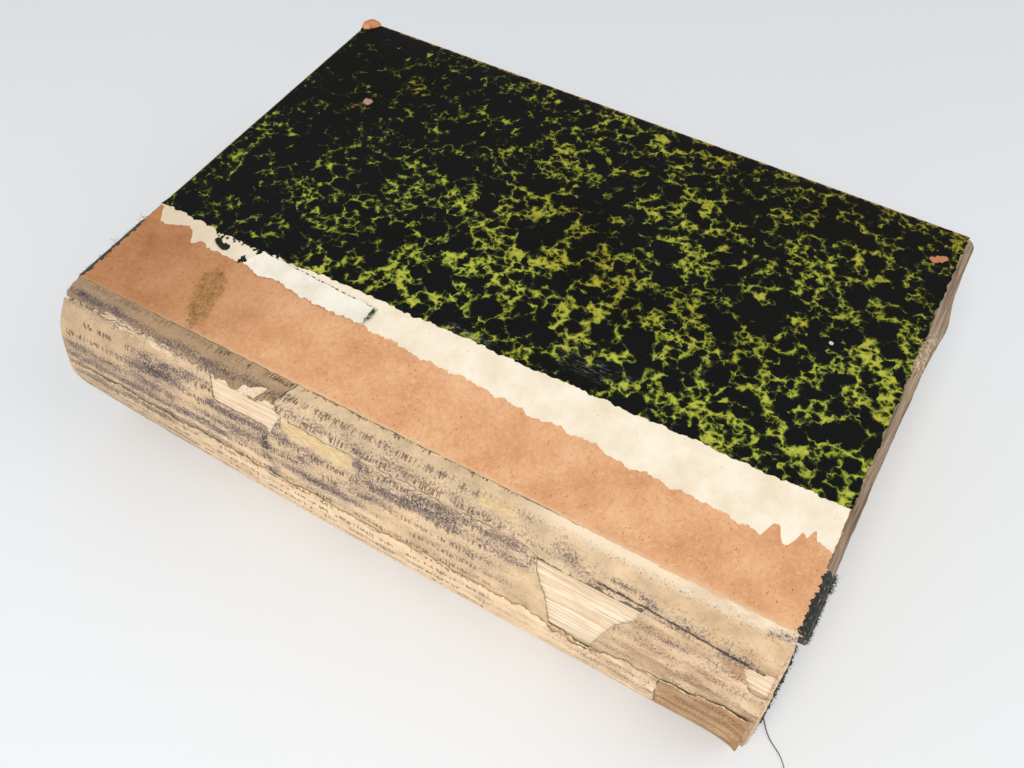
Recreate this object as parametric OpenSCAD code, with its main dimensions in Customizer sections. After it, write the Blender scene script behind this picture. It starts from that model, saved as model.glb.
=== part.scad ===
/* [Boards] */
// Height of a board, from its tail to its head
board_l = 202; // [150:1:280]
// Width of a board, from the joint to the fore-edge
board_w = 134; // [100:1:200]
// Thickness of a board
board_t = 3.0; // [2:0.1:4]
// Radius of the rounded board corners
corner_r = 3.0; // [1:0.1:6]
// Thickness of the papers and cloth glued to the boards
skin_t = 0.3; // [0.2:0.05:0.5]
// Width of the papers and cloth turned in on the inside of a board
turn_in = 14; // [8:1:20]

/* [Text block] */
// Thickness of the text block between its endpapers
text_t = 42; // [24:1:60]
// How far a board reaches past the pages at the fore-edge
square_w = 3; // [1:0.1:6]
// How far a board reaches past the pages at the head and tail
end_square = 2.2; // [1.5:0.1:6]
// How far the rounded back stands out from the joints
round_out = 12.4; // [6:0.1:16]
// Fullness of the rounded back: 2 is an ellipse, more is squarer
round_power = 2.4; // [2:0.1:3]
// How much rounder the back's rear corner has become at the head
head_slack = 1.0; // [0:0.1:1.2]
// Depth of the hollow in the fore-edge
fore_hollow = 8; // [3:0.5:10]
// Number of folded sections sewn into the block
section_count = 44; // [16:1:48]
// Height of each section's rounded fold
fold_h = 0.35; // [0.1:0.05:0.6]
// Thickness of an endpaper leaf
leaf_t = 0.2; // [0.1:0.05:0.4]

/* [Spine linings] */
// Thickness of a lining paper
lining_t = 0.35; // [0.2:0.05:0.4]
// Distance from the head end of the linings to the head of the boards
head_inset = 0.6; // [0.5:0.1:3]
// Distance from the tail end of the linings to the tail of the boards
tail_inset = 1.8; // [0.5:0.1:3]
// Distance of the seam between the two upper linings from the middle, towards the head
seam_y = 29; // [10:1:60]
// Place where the lower edge of the upper lining starts to lift, from the middle
ledge_y = -38; // [-60:1:-20]
// Depth of the large torn window near the tail, in degrees round the back
window_drop = 55; // [20:1:60]
// Distance of the large torn window's middle from the middle of the book
window_y = -54; // [-64:1:-50]
// Distance of the small torn window's middle from the middle of the book
small_window_y = 41; // [38:1:60]
// Depth of the torn window at the tail end, in degrees round the back
end_drop = 24; // [10:1:40]
// Length of the torn window at the tail end
end_window_l = 9; // [4:0.5:14]
// Place of the edge of the lowest lining near the tail
tail_patch_y = -77; // [-84:1:-74]

/* [Worn covering] */
// Distance from the joint to the torn edge of the marbled paper
paper_x = 33; // [28:1:50]
// Distance from the joint to the torn edge of the white layer
white_x = 22; // [14:0.5:24]
// Bare strip where the paper is worn off the tail edge of the front board
tail_wear = 2.2; // [0.5:0.1:5]
// Size of the bare board tip at the front head corner
tip_wear = 9; // [4:0.5:14]
// Length of the cloth left on the head edge of the front board
cloth_head_l = 25; // [10:1:28]
// Length of the cloth left on the tail edge of the front board
cloth_tail_l = 17; // [8:1:28]
// Length of the raised flap on the white layer
flap_l = 40; // [20:1:60]
// Width of the raised flap
flap_w = 6; // [2:0.1:6.5]
// Distance from the joint to the near edge of the raised flap
flap_x = 24; // [23.5:0.1:25]
// Place of the flap's fixed end, from the middle towards the head
flap_y = 66; // [50:1:80]
// Height that the loose end of the flap stands off the board
flap_rise = 0.9; // [0.3:0.1:3]

/* [Clearances] */
// Gap between the shoulder of the block and the spine edge of a board
joint_gap = 0.4; // [0.2:0.05:1]
// Gap between a pastedown and its flyleaf
leaf_gap = 0.1; // [0.05:0.05:0.3]
// Gap between the linings and the outer faces of an opened board
swing_gap = 0.3; // [0.2:0.05:0.6]
// Gap between the section folds and the linings
glue_gap = 0.15; // [0.05:0.01:0.2]

/* [Hidden] */

$fn = 48;

// Heights, from the outer face of the rear cover upwards
cover_t = board_t + 2 * skin_t + leaf_t;
book_t = text_t + 2 * (cover_t + leaf_gap + leaf_t);
mid_z = book_t / 2;
block_z = (book_t - text_t) / 2;

// How far out the first and the second lining lie, and how far out the second one reaches
layer_1 = glue_gap;
layer_2 = 2 * glue_gap + lining_t;
back_reach = layer_2 + lining_t;
spine_out = joint_gap + round_out + back_reach;

// The back's half heights: one lining lies over its front half and two over its rear half
half_front = mid_z - swing_gap - layer_1 - lining_t;
half_rear = mid_z - swing_gap - back_reach;

// The origin lies under the middle of the whole book
origin_x = (board_w + skin_t - spine_out) / 2;
pages_w = board_w - square_w;
pages_l = board_l - 2 * end_square;
head_y = board_l / 2 - head_inset;
tail_y = -board_l / 2 + tail_inset;
slack_from = board_l / 10;

// Thin layers glued to the front board inside the marbled paper's edge
brown_t = skin_t * 0.5;
white_t = skin_t * 0.3;

// Back outline: angle 0 at the front joint, 180 at the rear joint, d is the distance off the folds
function slack(y) = head_slack * pow(max(0, y + slack_from) / (board_l / 2 + slack_from), 1.5);
function fullness(v, a, y) = pow(abs(v), 2 / (round_power - (a > 90 ? slack(y) : 0)));
function half_back(a) = a > 90 ? half_rear : half_front;
function back_x(a, d, y) = -joint_gap - (round_out + d) * fullness(sin(a), a, y);
function back_z(a, d, y) = mid_z + (half_back(a) + d) * fullness(cos(a), a, y) * sign(cos(a));
function back_at(a, d, y) = [back_x(a, d, y), y, back_z(a, d, y)];

// A smooth ragged line, about plus or minus one, for torn edges
function ragged(v, seed) =
    0.45 * sin(v * 11.3 + seed * 71)
    + 0.30 * sin(v * 29.7 + seed * 133)
    + 0.25 * sin(v * 67.1 + seed * 29);

// A smooth bump from 0 to 1 and back, centred on c and w wide on each side
function bump(v, c, w) = abs(v - c) < w ? 0.5 + 0.5 * cos(180 * (v - c) / w) : 0;

// A flat-topped bump with steep sides
function plateau(v, c, w, side) = min(1, max(0, (w - abs(v - c)) / side));

// Edge lines on the front board, as distances from the joint at a height y
function paper_edge(y) = paper_x - 0.009 * y + 0.4 * ragged(y, 1) - 1.2 * bump(y, 68, 26);
function white_edge(y) =
    white_x + 0.045 * y + 0.8 * ragged(y, 2)
    + 4.5 * bump(y, -85.4, 2.6) + 4.8 * plateau(y, -97, 7.5, 2) + 3 * bump(y, -93.8, 1.3)
    + 2.5 * bump(y, 88, 5) + 6 * bump(y, 100.7, 5);

// Upper and lower edges of the spine linings, in degrees round the back at a height y
function upper_head_edge(y) = 22 + 6 * plateau(y, small_window_y, 12, 8) + 1.8 * ragged(y, 3);
function upper_tail_edge(y) =
    33 + 6 * plateau(y, -90, 90 + ledge_y, 6) + 4 * plateau(y, -88, 12, 8) + 1.2 * ragged(y, 4);
function main_top_edge(y) =
    (y > seam_y ? 23 : 35) + 1.2 * ragged(y, 5)
    + 25 * plateau(y, small_window_y, 12, 6)
    + 8 * plateau(y, seam_y + 3, 4, 2)
    + 9 * plateau(y, (seam_y + 6) / 2, (seam_y - 6) / 2, 3)
    + window_drop * plateau(y, window_y, 13, 8)
    + end_drop * plateau(y, tail_y, end_window_l, 5);
function lower_top_edge(y) = 88 - 0.08 * max(0, y - 20) + 5 * bump(y, window_y, 14) + 2 * ragged(y, 6);
function tail_top_edge(y) = 78 + 0.43 * (y - tail_y) + ragged(y, 11);

// Evenly spaced values from a up to b, without b
function between(a, b, n) = [for (i = [0 : n - 1]) a + (b - a) * i / n];

// Solids
module placed() {
    translate([-origin_x, 0, 0]) children();
}

// A prism along Y from an outline drawn in X and Z
module along_y(length) {
    translate([0, length / 2, 0]) rotate([90, 0, 0]) linear_extrude(length) children();
}

// A flat plate with its two fore-edge corners rounded, standing from z0 to z1
module plate(x0, x1, length, r, z0, z1) {
    translate([0, 0, z0]) linear_extrude(z1 - z0) {
        translate([x0, -length / 2]) square([x1 - x0 - r, length]);
        translate([x0, -length / 2 + r]) square([x1 - x0, length - 2 * r]);
        for (side = [-1, 1])
            translate([x1 - r, side * (length / 2 - r)]) circle(r);
    }
}

// A ragged paper lying between two lines that run from tail to head
module torn_strip(y0, y1, steps, z0, z1, left, right) {
    ys = [for (i = [0 : steps]) y0 + (y1 - y0) * i / steps];
    left_line = [for (y = ys) [left(y), y]];
    right_line = [for (i = [steps : -1 : 0]) [right(ys[i]), ys[i]]];
    translate([0, 0, z0]) linear_extrude(z1 - z0) polygon(concat(left_line, right_line));
}

// A curved paper on the back: a grid of points between two edge lines, with a thickness
module back_paper(ys, cols, d0, top, bottom) {
    rows = len(ys) - 1;
    row_n = cols + 1;
    side_n = (rows + 1) * row_n;
    points = [
        for (layer = [0, 1]) for (y = ys) for (j = [0 : cols])
            back_at(top(y) + (bottom(y) - top(y)) * j / cols, d0 + layer * lining_t, y)
    ];
    function at(layer, i, j) = layer * side_n + i * row_n + j;
    inner = [
        for (i = [0 : rows - 1]) for (j = [0 : cols - 1]) each [
            [at(0, i, j), at(0, i + 1, j), at(0, i + 1, j + 1)],
            [at(0, i, j), at(0, i + 1, j + 1), at(0, i, j + 1)]
        ]
    ];
    outer = [
        for (i = [0 : rows - 1]) for (j = [0 : cols - 1]) each [
            [at(1, i, j), at(1, i + 1, j + 1), at(1, i + 1, j)],
            [at(1, i, j), at(1, i, j + 1), at(1, i + 1, j + 1)]
        ]
    ];
    long_rims = [
        for (i = [0 : rows - 1]) each [
            [at(0, i, 0), at(1, i, 0), at(1, i + 1, 0)],
            [at(0, i, 0), at(1, i + 1, 0), at(0, i + 1, 0)],
            [at(0, i, cols), at(0, i + 1, cols), at(1, i + 1, cols)],
            [at(0, i, cols), at(1, i + 1, cols), at(1, i, cols)]
        ]
    ];
    end_rims = [
        for (j = [0 : cols - 1]) each [
            [at(0, 0, j), at(0, 0, j + 1), at(1, 0, j + 1)],
            [at(0, 0, j), at(1, 0, j + 1), at(1, 0, j)],
            [at(0, rows, j), at(1, rows, j), at(1, rows, j + 1)],
            [at(0, rows, j), at(1, rows, j + 1), at(0, rows, j + 1)]
        ]
    ];
    polyhedron(points, concat(inner, outer, long_rims, end_rims), convexity = 8);
}

// The back of the text block: a scallop for each section's fold, lofted from tail to head
module folded_back() {
    points_per_fold = 4;
    steps = section_count * points_per_fold;
    ys = concat([-pages_l / 2], between(-slack_from, pages_l / 2, 5), [pages_l / 2]);
    rows = len(ys) - 1;
    row_n = steps + 2;
    points = [
        for (y = ys) each concat(
            [for (i = [0 : steps])
                back_at(180 * i / steps, fold_h * (abs(sin(180 * i / points_per_fold)) - 1), y)],
            [[-joint_gap, y, mid_z]]
        )
    ];
    sides = [
        for (k = [0 : rows - 1]) for (i = [0 : steps + 1])
            let (a = k * row_n + i, b = k * row_n + (i + 1) % row_n)
            each [[a, b, b + row_n], [a, b + row_n, a + row_n]]
    ];
    ends = [
        for (i = [0 : steps - 1]) each [
            [steps + 1, i + 1, i],
            [rows * row_n + steps + 1, rows * row_n + i, rows * row_n + i + 1]
        ]
    ];
    polyhedron(points, concat(sides, ends), convexity = 8);
}

// The text block: pages with a hollow fore-edge, joined to the rounded back with its shoulders
module text_block() {
    hollow_r = (pow(text_t / 2, 2) + pow(fore_hollow, 2)) / (2 * fore_hollow);
    color("#d8c69c") placed() union() {
        difference() {
            translate([-joint_gap, -pages_l / 2, block_z])
                cube([pages_w + joint_gap, pages_l, text_t]);
            translate([pages_w - fore_hollow + hollow_r, pages_l / 2 + 1, mid_z])
                rotate([90, 0, 0]) cylinder(r = hollow_r, h = pages_l + 2, $fn = 96);
        }
        folded_back();
    }
}

module flyleaf(z0) {
    color("#d9ccaa") placed()
        translate([0, -pages_l / 2, z0]) cube([pages_w, pages_l, leaf_t]);
}

module front_flyleaf() {
    flyleaf(book_t - block_z);
}

module rear_flyleaf() {
    flyleaf(block_z - leaf_t);
}

module lining_upper_head() {
    color("#b5a685") placed() back_paper(
        concat(between(seam_y + 0.2, head_y, 32), [head_y]), 5, layer_1,
        function (y) 1.5 + 0.5 * ragged(y, 7),
        function (y) upper_head_edge(y)
    );
}

module lining_upper_tail() {
    color("#c3b38d") placed() back_paper(
        concat(between(tail_y, seam_y - 0.2, 46), [seam_y - 0.2]), 6, layer_1,
        function (y) 1.5 + 0.5 * ragged(y, 8),
        function (y) upper_tail_edge(y)
    );
}

// The rows of points lie closer together along the torn windows
module lining_main() {
    ys = concat(
        between(tail_y, window_y - 14, 15), between(window_y - 14, window_y + 14, 26),
        between(window_y + 14, seam_y, 18), between(seam_y, small_window_y + 13, 16),
        between(small_window_y + 13, head_y, 14), [head_y]
    );
    color("#b9a67f") placed() back_paper(
        ys, 13, layer_1,
        function (y) max(main_top_edge(y), (y > seam_y ? upper_head_edge(y) : upper_tail_edge(y)) + 0.5),
        function (y) 150 + 1.5 * ragged(y, 9)
    );
}

module lining_lower() {
    color("#bfa878") placed() back_paper(
        concat(between(tail_patch_y + 0.5, head_y, 40), [head_y]), 11, layer_2,
        function (y) lower_top_edge(y),
        function (y) 178
    );
}

module lining_tail() {
    color("#ad9468") placed() back_paper(
        concat(between(tail_y, tail_patch_y, 8), [tail_patch_y]), 12, layer_2,
        function (y) tail_top_edge(y),
        function (y) 178
    );
}

// A scrap of the lost cloth turned over one end of the block, between two angles round the back
module spine_cloth(side, a0, a1, depth) {
    steps = 24;
    y = side * pages_l / 2;
    angles = [for (i = [0 : steps]) a0 + (a1 - a0) * i / steps];
    outer = [for (a = angles) [back_x(a, -fold_h, y), back_z(a, -fold_h, y)]];
    inner = [
        for (i = [steps : -1 : 0])
            [back_x(angles[i], -depth, y), back_z(angles[i], -depth, y)]
    ];
    color("#20261f") placed()
        translate([0, side * (pages_l + skin_t) / 2, 0])
            along_y(skin_t) polygon(concat(outer, inner));
}

module spine_cloth_head() {
    spine_cloth(1, 6, 34, 2.5);
}

module spine_cloth_tail() {
    spine_cloth(-1, 3, 130, 2.8);
}

// A board with its inner face at z0
module board(z0) {
    placed() plate(0, board_w, board_l, corner_r, z0, z0 + board_t);
}

module front_board() {
    color("#8d7556") board(book_t - skin_t - board_t);
}

module front_brown_paper() {
    color("#c8966c") placed() torn_strip(
        -board_l / 2 + tail_wear, board_l / 2 - 0.2, 110,
        book_t - skin_t, book_t - skin_t + brown_t,
        function (y) 0.1 + 0.1 * ragged(y, 12),
        function (y) paper_edge(y) - 0.1
    );
}

module front_white_paper() {
    color("#e9e2cf") placed() torn_strip(
        -board_l / 2 + tail_wear + 0.1, board_l / 2 - 0.5, 160,
        book_t - skin_t + brown_t, book_t - skin_t + brown_t + white_t,
        function (y) min(white_edge(y), paper_edge(y) - 0.7),
        function (y) paper_edge(y) - 0.1
    );
}

// A strip of the white layer that has come loose and lifts towards its tail end
module front_white_flap() {
    steps = 24;
    base = book_t - skin_t + brown_t + white_t;
    thick = skin_t * 0.6;
    under = [for (i = [0 : steps]) [flap_y - flap_l * i / steps, base + flap_rise * pow(i / steps, 2.2)]];
    over = [for (i = [steps : -1 : 0]) [under[i][0], under[i][1] + thick]];
    color("#f2eee0") placed() translate([flap_x, 0, 0]) rotate([90, 0, 90])
        linear_extrude(flap_w) polygon(concat(under, over));
}

// Marbled paper folded round three edges of a board, with its inner face open inside the turn-ins
module side_paper(z0, inner_z) {
    whole_t = board_t + 2 * skin_t;
    difference() {
        plate(paper_x - 4, board_w + skin_t, board_l + 2 * skin_t, corner_r + skin_t, z0, z0 + whole_t);
        plate(-5, board_w, board_l, corner_r, z0 + skin_t, z0 + skin_t + board_t);
        translate([-5, -board_l / 2 + turn_in, inner_z])
            cube([board_w - turn_in + 5, board_l - 2 * turn_in, skin_t]);
        children();
    }
}

// What is torn away on the joint side of the front marbled paper
module torn_joint_side(z0, height) {
    torn_strip(
        -board_l / 2 - 1, board_l / 2 + 1, 110, z0, z0 + height,
        function (y) -10,
        function (y) paper_edge(y)
    );
}

module front_side_paper() {
    z0 = book_t - board_t - 2 * skin_t;
    color("#26281c") placed() side_paper(z0, z0) {
        torn_joint_side(z0 - 1, board_t + 2);
        // Paper worn off the tail edge, and off the head corner
        translate([0, -board_l / 2 - 1, z0 + skin_t])
            cube([board_w + 1, 1 + tail_wear, board_t + 1]);
        translate([board_w, board_l / 2, z0 + skin_t])
            rotate([0, 0, 45]) translate([-tip_wear / 2, -20, 0]) cube([20, 40, board_t + 1]);
    }
}

// Cloth left on an edge of the front board: over the edge, turned in, and kept over the outer face
module edge_cloth(side, length, over) {
    z0 = book_t - board_t - 2 * skin_t;
    y_edge = side * board_l / 2;
    color("#1e241e") placed() union() {
        translate([0, side > 0 ? y_edge : y_edge - skin_t, z0])
            cube([length, skin_t, board_t + 1.6 * skin_t]);
        translate([0, side > 0 ? y_edge - turn_in : y_edge - skin_t, z0])
            cube([length, turn_in + skin_t, skin_t]);
        translate([0, side > 0 ? y_edge - over : y_edge - skin_t, book_t - skin_t])
            cube([length, over + skin_t, 0.6 * skin_t]);
    }
}

module front_cloth_head() {
    edge_cloth(1, cloth_head_l, 0.1);
}

module front_cloth_tail() {
    edge_cloth(-1, cloth_tail_l, tail_wear - 0.1);
}

// Endpaper glued inside a cover: thick where it lies on the board, thin over the turned-in edges
module pastedown(z_leaf, z_fill) {
    color("#d6c8a6") placed() union() {
        translate([joint_gap, -pages_l / 2, z_leaf])
            cube([pages_w - joint_gap, pages_l, leaf_t]);
        translate([joint_gap, -board_l / 2 + turn_in, z_fill])
            cube([board_w - turn_in - joint_gap, board_l - 2 * turn_in, skin_t]);
    }
}

module front_pastedown() {
    pastedown(book_t - cover_t, book_t - cover_t + leaf_t);
}

module rear_board() {
    color("#8d7556") board(skin_t);
}

// Dark cloth that still covers the spine side of the rear board
module rear_quarter_cloth() {
    length = board_l + 2 * skin_t;
    color("#20261f") placed() difference() {
        translate([0, -length / 2, skin_t * 0.2])
            cube([paper_x - 0.1, length, board_t + skin_t * 1.8]);
        translate([-1, -board_l / 2, skin_t]) cube([paper_x + 2, board_l, board_t]);
        translate([-1, -board_l / 2 + turn_in, board_t])
            cube([paper_x + 2, board_l - 2 * turn_in, 2]);
    }
}

module rear_side_paper() {
    color("#26281c") placed() side_paper(0, board_t + skin_t) {
        translate([-5, -board_l, -1]) cube([paper_x + 5, 2 * board_l, board_t + 3]);
    }
}

module rear_pastedown() {
    pastedown(cover_t - leaf_t, cover_t - leaf_t - skin_t);
}

text_block();
front_flyleaf();
rear_flyleaf();
lining_upper_head();
lining_upper_tail();
lining_main();
lining_lower();
lining_tail();
spine_cloth_head();
spine_cloth_tail();
front_board();
front_brown_paper();
front_white_paper();
front_white_flap();
front_side_paper();
front_cloth_head();
front_cloth_tail();
front_pastedown();
rear_board();
rear_quarter_cloth();
rear_side_paper();
rear_pastedown();
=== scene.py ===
# Looks for a worn quarter-bound hardback book: torn papers, frayed cloth, page edges and finishes.
import math
import random

import bpy
import numpy as np
from mathutils import Matrix, Vector, geometry, noise


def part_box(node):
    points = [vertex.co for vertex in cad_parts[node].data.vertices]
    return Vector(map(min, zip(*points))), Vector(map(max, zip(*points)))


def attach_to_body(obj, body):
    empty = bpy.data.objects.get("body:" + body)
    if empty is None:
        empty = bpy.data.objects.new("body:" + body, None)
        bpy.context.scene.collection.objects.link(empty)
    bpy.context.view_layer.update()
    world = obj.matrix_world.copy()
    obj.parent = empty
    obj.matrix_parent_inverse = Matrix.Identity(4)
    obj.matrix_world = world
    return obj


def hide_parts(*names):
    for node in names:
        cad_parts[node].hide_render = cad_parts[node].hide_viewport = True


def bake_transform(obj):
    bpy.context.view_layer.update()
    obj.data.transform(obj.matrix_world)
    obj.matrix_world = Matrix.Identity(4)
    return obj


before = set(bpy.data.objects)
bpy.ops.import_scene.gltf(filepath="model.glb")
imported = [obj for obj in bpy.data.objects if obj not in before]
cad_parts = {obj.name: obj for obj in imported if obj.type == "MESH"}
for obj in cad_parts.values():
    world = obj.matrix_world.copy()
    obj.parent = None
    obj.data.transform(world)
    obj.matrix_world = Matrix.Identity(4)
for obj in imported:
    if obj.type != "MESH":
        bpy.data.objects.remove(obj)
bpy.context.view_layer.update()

MM = 0.001

# Places read from the frame, in metres
board_low, board_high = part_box("front_board")
lining_low, lining_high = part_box("lining_main")
JOINT_X, TAIL_Y = board_low.x, board_low.y
FORE_X, HEAD_Y = board_high.x, board_high.y
LINING_TAIL, LINING_HEAD = lining_low.y, lining_high.y
BLOCK_FORE, BLOCK_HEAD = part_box("text_block")[1].xy
BOOK_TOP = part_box("front_side_paper")[1].z
SKIN = BOOK_TOP - board_high.z
BOARD_T = board_high.z - board_low.z
MID_Z = BOOK_TOP / 2
BODY_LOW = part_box("rear_flyleaf")[1].z
BODY_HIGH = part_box("front_flyleaf")[0].z

# Sizes that the frame doesn't state
JOINT_GAP = 0.4 * MM  # from the boards' spine edges to the block's shoulders
CORNER_R = 3.0 * MM  # the boards' fore corners
TURN_IN = 14 * MM  # how far papers and cloth turn in over the boards' edges
PAPER_X = 33 * MM  # from the joint to the side papers
TAIL_WEAR = 2.2 * MM  # how far papers are worn back at the front board's tail edge
PAPER_T = 0.15 * MM
LINING_T = 0.30 * MM
SECTIONS = 44
FOLD_H = 0.35 * MM  # how deep the section folds are on the back
FORE_HOLLOW = 8 * MM
SEAM_Y = 29 * MM  # where the two upper linings meet

# The rounded back: an angle from the front joint, a lift off the folds and a height
ROUND_OUT = 12.4 * MM
HALF_FRONT = MID_Z - 0.8 * MM
HALF_REAR = MID_Z - 1.3 * MM
BACK_POWER = 2.4
HEAD_SLACK = 1.0
SLACK_FROM = 20.2 * MM


def back_point(angle, lift, y):
    """X and Z of the back at an angle in degrees. Its rear corner is rounder near the head."""
    a = np.radians(angle)
    slack = HEAD_SLACK * (max(0.0, y + SLACK_FROM) / (HEAD_Y + SLACK_FROM)) ** 1.5
    rear = np.asarray(angle) > 90
    power = 2 / np.where(rear, BACK_POWER - slack, BACK_POWER)
    half = np.where(rear, HALF_REAR, HALF_FRONT)
    x = JOINT_X - JOINT_GAP - (ROUND_OUT + lift) * np.abs(np.sin(a)) ** power
    z = MID_Z + (half + lift) * np.abs(np.cos(a)) ** power * np.sign(np.cos(a))
    return x, z


angle_table = np.linspace(0, 180, 721)
back_x, back_z = back_point(angle_table, 0.0, -1.0)
arc_table = np.concatenate([[0], np.cumsum(np.hypot(np.diff(back_x), np.diff(back_z)))])


def angle_at(s):
    """The angle at a distance round the back from the front joint."""
    return float(np.interp(s, arc_table, angle_table))


def arc_at(angle):
    """The distance round the back from the front joint at an angle."""
    return float(np.interp(angle, angle_table, arc_table))


def wave(v, seed):
    """The ragged line that the solids use, about plus or minus one, for a place in metres."""
    mm = v / MM
    return (
        0.45 * math.sin(math.radians(mm * 11.3 + seed * 71))
        + 0.30 * math.sin(math.radians(mm * 29.7 + seed * 133))
        + 0.25 * math.sin(math.radians(mm * 67.1 + seed * 29))
    )


def rough(v, seed, size):
    """Fine tearing: noise of the given grain size, about plus or minus one."""
    return 2.2 * noise.fractal(Vector((v / size, seed * 7.3, 1.7)), 0.8, 2.1, 3)


def clamp(v):
    return min(1.0, max(0.0, v))


def bump(v, centre, half):
    """A smooth hump of height 1."""
    if abs(v - centre) >= half:
        return 0.0
    return 0.5 + 0.5 * math.cos(math.pi * (v - centre) / half)


def plateau(v, centre, half, side):
    """1 round a centre, falling to 0 at half over a side."""
    return clamp((half - abs(v - centre)) / side)


def paper_edge(y):
    """The front side paper's torn edge, as a distance from the joint."""
    mm = -0.009 * y / MM + 0.4 * wave(y, 1) - 1.2 * bump(y, 68 * MM, 26 * MM)
    return PAPER_X + mm * MM


def white_edge(y):
    """The white layer's torn edge, as a distance from the joint."""
    mm = 22 + 0.045 * y / MM + 0.8 * wave(y, 2)
    mm += 4.4 * bump(y, -86.0 * MM, 2.5 * MM) ** 0.7 + 4.8 * plateau(y, -97 * MM, 7.5 * MM, 2 * MM)
    mm += 3 * bump(y, -93.8 * MM, 1.3 * MM)
    mm += 2.5 * bump(y, 88 * MM, 5 * MM) + 6 * bump(y, 100.7 * MM, 5 * MM)
    return min(mm * MM, paper_edge(y) - 0.7 * MM)


def stroke(y, s, width, *places):
    """1 on a line through some places, fading to 0 beyond its width. All in millimetres."""
    best = 1e9
    for (ay, a_s), (by, b_s) in zip(places, places[1:] or places):
        dy, ds = by - ay, b_s - a_s
        t = clamp(((y - ay) * dy + (s - a_s) * ds) / max(dy * dy + ds * ds, 1e-9))
        best = min(best, math.hypot(y - ay - t * dy, s - a_s - t * ds))
    return clamp(1.5 * (1 - best / width))


# Mesh helpers
def line(start, end, step):
    """Evenly spaced values from start to end, about a step apart, without the end."""
    count = max(1, int(round(abs(end - start) / step)))
    return [start + (end - start) * i / count for i in range(count)]


def arc(x, y, radius, start, end, step):
    """Points round a corner with their outward directions. Angles are in degrees."""
    turns = [math.radians(a) for a in line(start, end, step)]
    return [
        (x + radius * math.cos(a), y + radius * math.sin(a), math.cos(a), math.sin(a))
        for a in turns
    ]


def walls(rings):
    """Faces between closed rings of vertex numbers."""
    faces = []
    for lower, upper in zip(rings, rings[1:]):
        for i in range(len(lower)):
            j = (i + 1) % len(lower)
            faces.append((lower[i], lower[j], upper[j], upper[i]))
    return faces


def torn_shape(places, step, wobble, seed, grain):
    """A closed outline through places in millimetres, with torn sides."""
    outline = []
    for (ax, ay), (bx, by) in zip(places, places[1:] + places[:1]):
        for t in line(0, 1, step):
            off = wobble * rough((ax + t) * MM, seed, grain * MM)
            outline.append(((ax + (bx - ax) * t + off) * MM, (ay + (by - ay) * t + off) * MM))
    return outline


def finish_mesh(name, vertices, faces, flat, smooth_angle, materials, slots=None):
    """A smooth mesh piece. flat holds each point's place on the flat sheet, for the materials."""
    mesh = bpy.data.meshes.new(name)
    mesh.from_pydata([tuple(v) for v in vertices], [], [tuple(f) for f in faces])
    mesh.validate()
    if flat is not None:
        layer = mesh.attributes.new("flat", "FLOAT_VECTOR", "POINT")
        layer.data.foreach_set("vector", np.asarray(flat, np.float32).ravel())
    piece = bpy.data.objects.new(name, mesh)
    bpy.context.scene.collection.objects.link(piece)
    for polygon in mesh.polygons:
        polygon.use_smooth = True
    mesh.set_sharp_from_angle(angle=math.radians(smooth_angle))
    for material in materials:
        mesh.materials.append(material)
    if slots is not None:
        mesh.polygons.foreach_set("material_index", np.asarray(slots, np.int32))
    return piece


def inside(points, outline):
    """Which points lie inside a closed outline, by the even-odd rule."""
    x, y = points[:, 0], points[:, 1]
    hit = np.zeros(len(points), bool)
    ax, ay = outline[:, 0], outline[:, 1]
    bx, by = np.roll(ax, -1), np.roll(ay, -1)
    for i in range(len(outline)):
        crosses = (ay[i] > y) != (by[i] > y)
        if crosses.any():
            span = by[i] - ay[i]
            at = ax[i] + (y - ay[i]) * (bx[i] - ax[i]) / (span if span else 1e-12)
            hit ^= crosses & (x < at)
    return hit


def fill(outline, cell):
    """Triangles over a flat outline with a grid of points inside it."""
    ring = np.asarray(outline, float)
    low, high = ring.min(0), ring.max(0)
    across = np.arange(low[0] + cell / 2, high[0], cell)
    along = np.arange(low[1] + cell / 2, high[1], cell)
    grid = np.array(np.meshgrid(across, along)).reshape(2, -1).T
    grid = grid[inside(grid, ring)]
    clear, batch = 0.35 * cell, 2000
    near = np.ones(len(grid), bool)
    for start in range(0, len(grid), batch):
        gap = np.abs(grid[start:start + batch, None, :] - ring[None]).max(2).min(1)
        near[start:start + batch] = gap > clear
    points = [Vector(p) for p in np.concatenate([ring, grid[near]])]
    edges = [(i, (i + 1) % len(ring)) for i in range(len(ring))]
    made = geometry.delaunay_2d_cdt(points, edges, [], 0, 1e-7)
    flat = np.array([tuple(p) for p in made[0]])
    triangles = np.array([f for f in made[2] if len(f) == 3])
    return flat, triangles[inside(flat[triangles].mean(1), ring)]


def paper(name, outline, cell, place, materials, rim_slot=0, under_slot=0):
    """A sheet with a thickness. place(u, v, side) gives its upper face at side 1, lower at 0."""
    flat, triangles = fill(outline, cell)
    used = np.unique(triangles)
    renumber = -np.ones(len(flat), int)
    renumber[used] = np.arange(len(used))
    flat, triangles = flat[used], renumber[triangles]
    count = len(flat)
    upper = [place(u, v, 1.0) for u, v in flat]
    lower = [place(u, v, 0.0) for u, v in flat]
    edges = {}
    for a, b, c in triangles:
        for edge in ((a, b), (b, c), (c, a)):
            edges[edge] = True
    rim = [(b, a, a + count, b + count) for a, b in edges if (b, a) not in edges]
    faces = [tuple(t) for t in triangles]
    faces += [(c + count, b + count, a + count) for a, b, c in triangles]
    faces += rim
    slots = [0] * len(triangles) + [under_slot] * len(triangles) + [rim_slot] * len(rim)
    both = np.concatenate([np.c_[flat, np.ones(count)], np.c_[flat, np.zeros(count)]])
    return finish_mesh(name, upper + lower, faces, both, 40, materials, slots)


def attach(piece, body, slot, *nodes):
    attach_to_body(piece, body)
    if nodes:
        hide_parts(*nodes)


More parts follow.
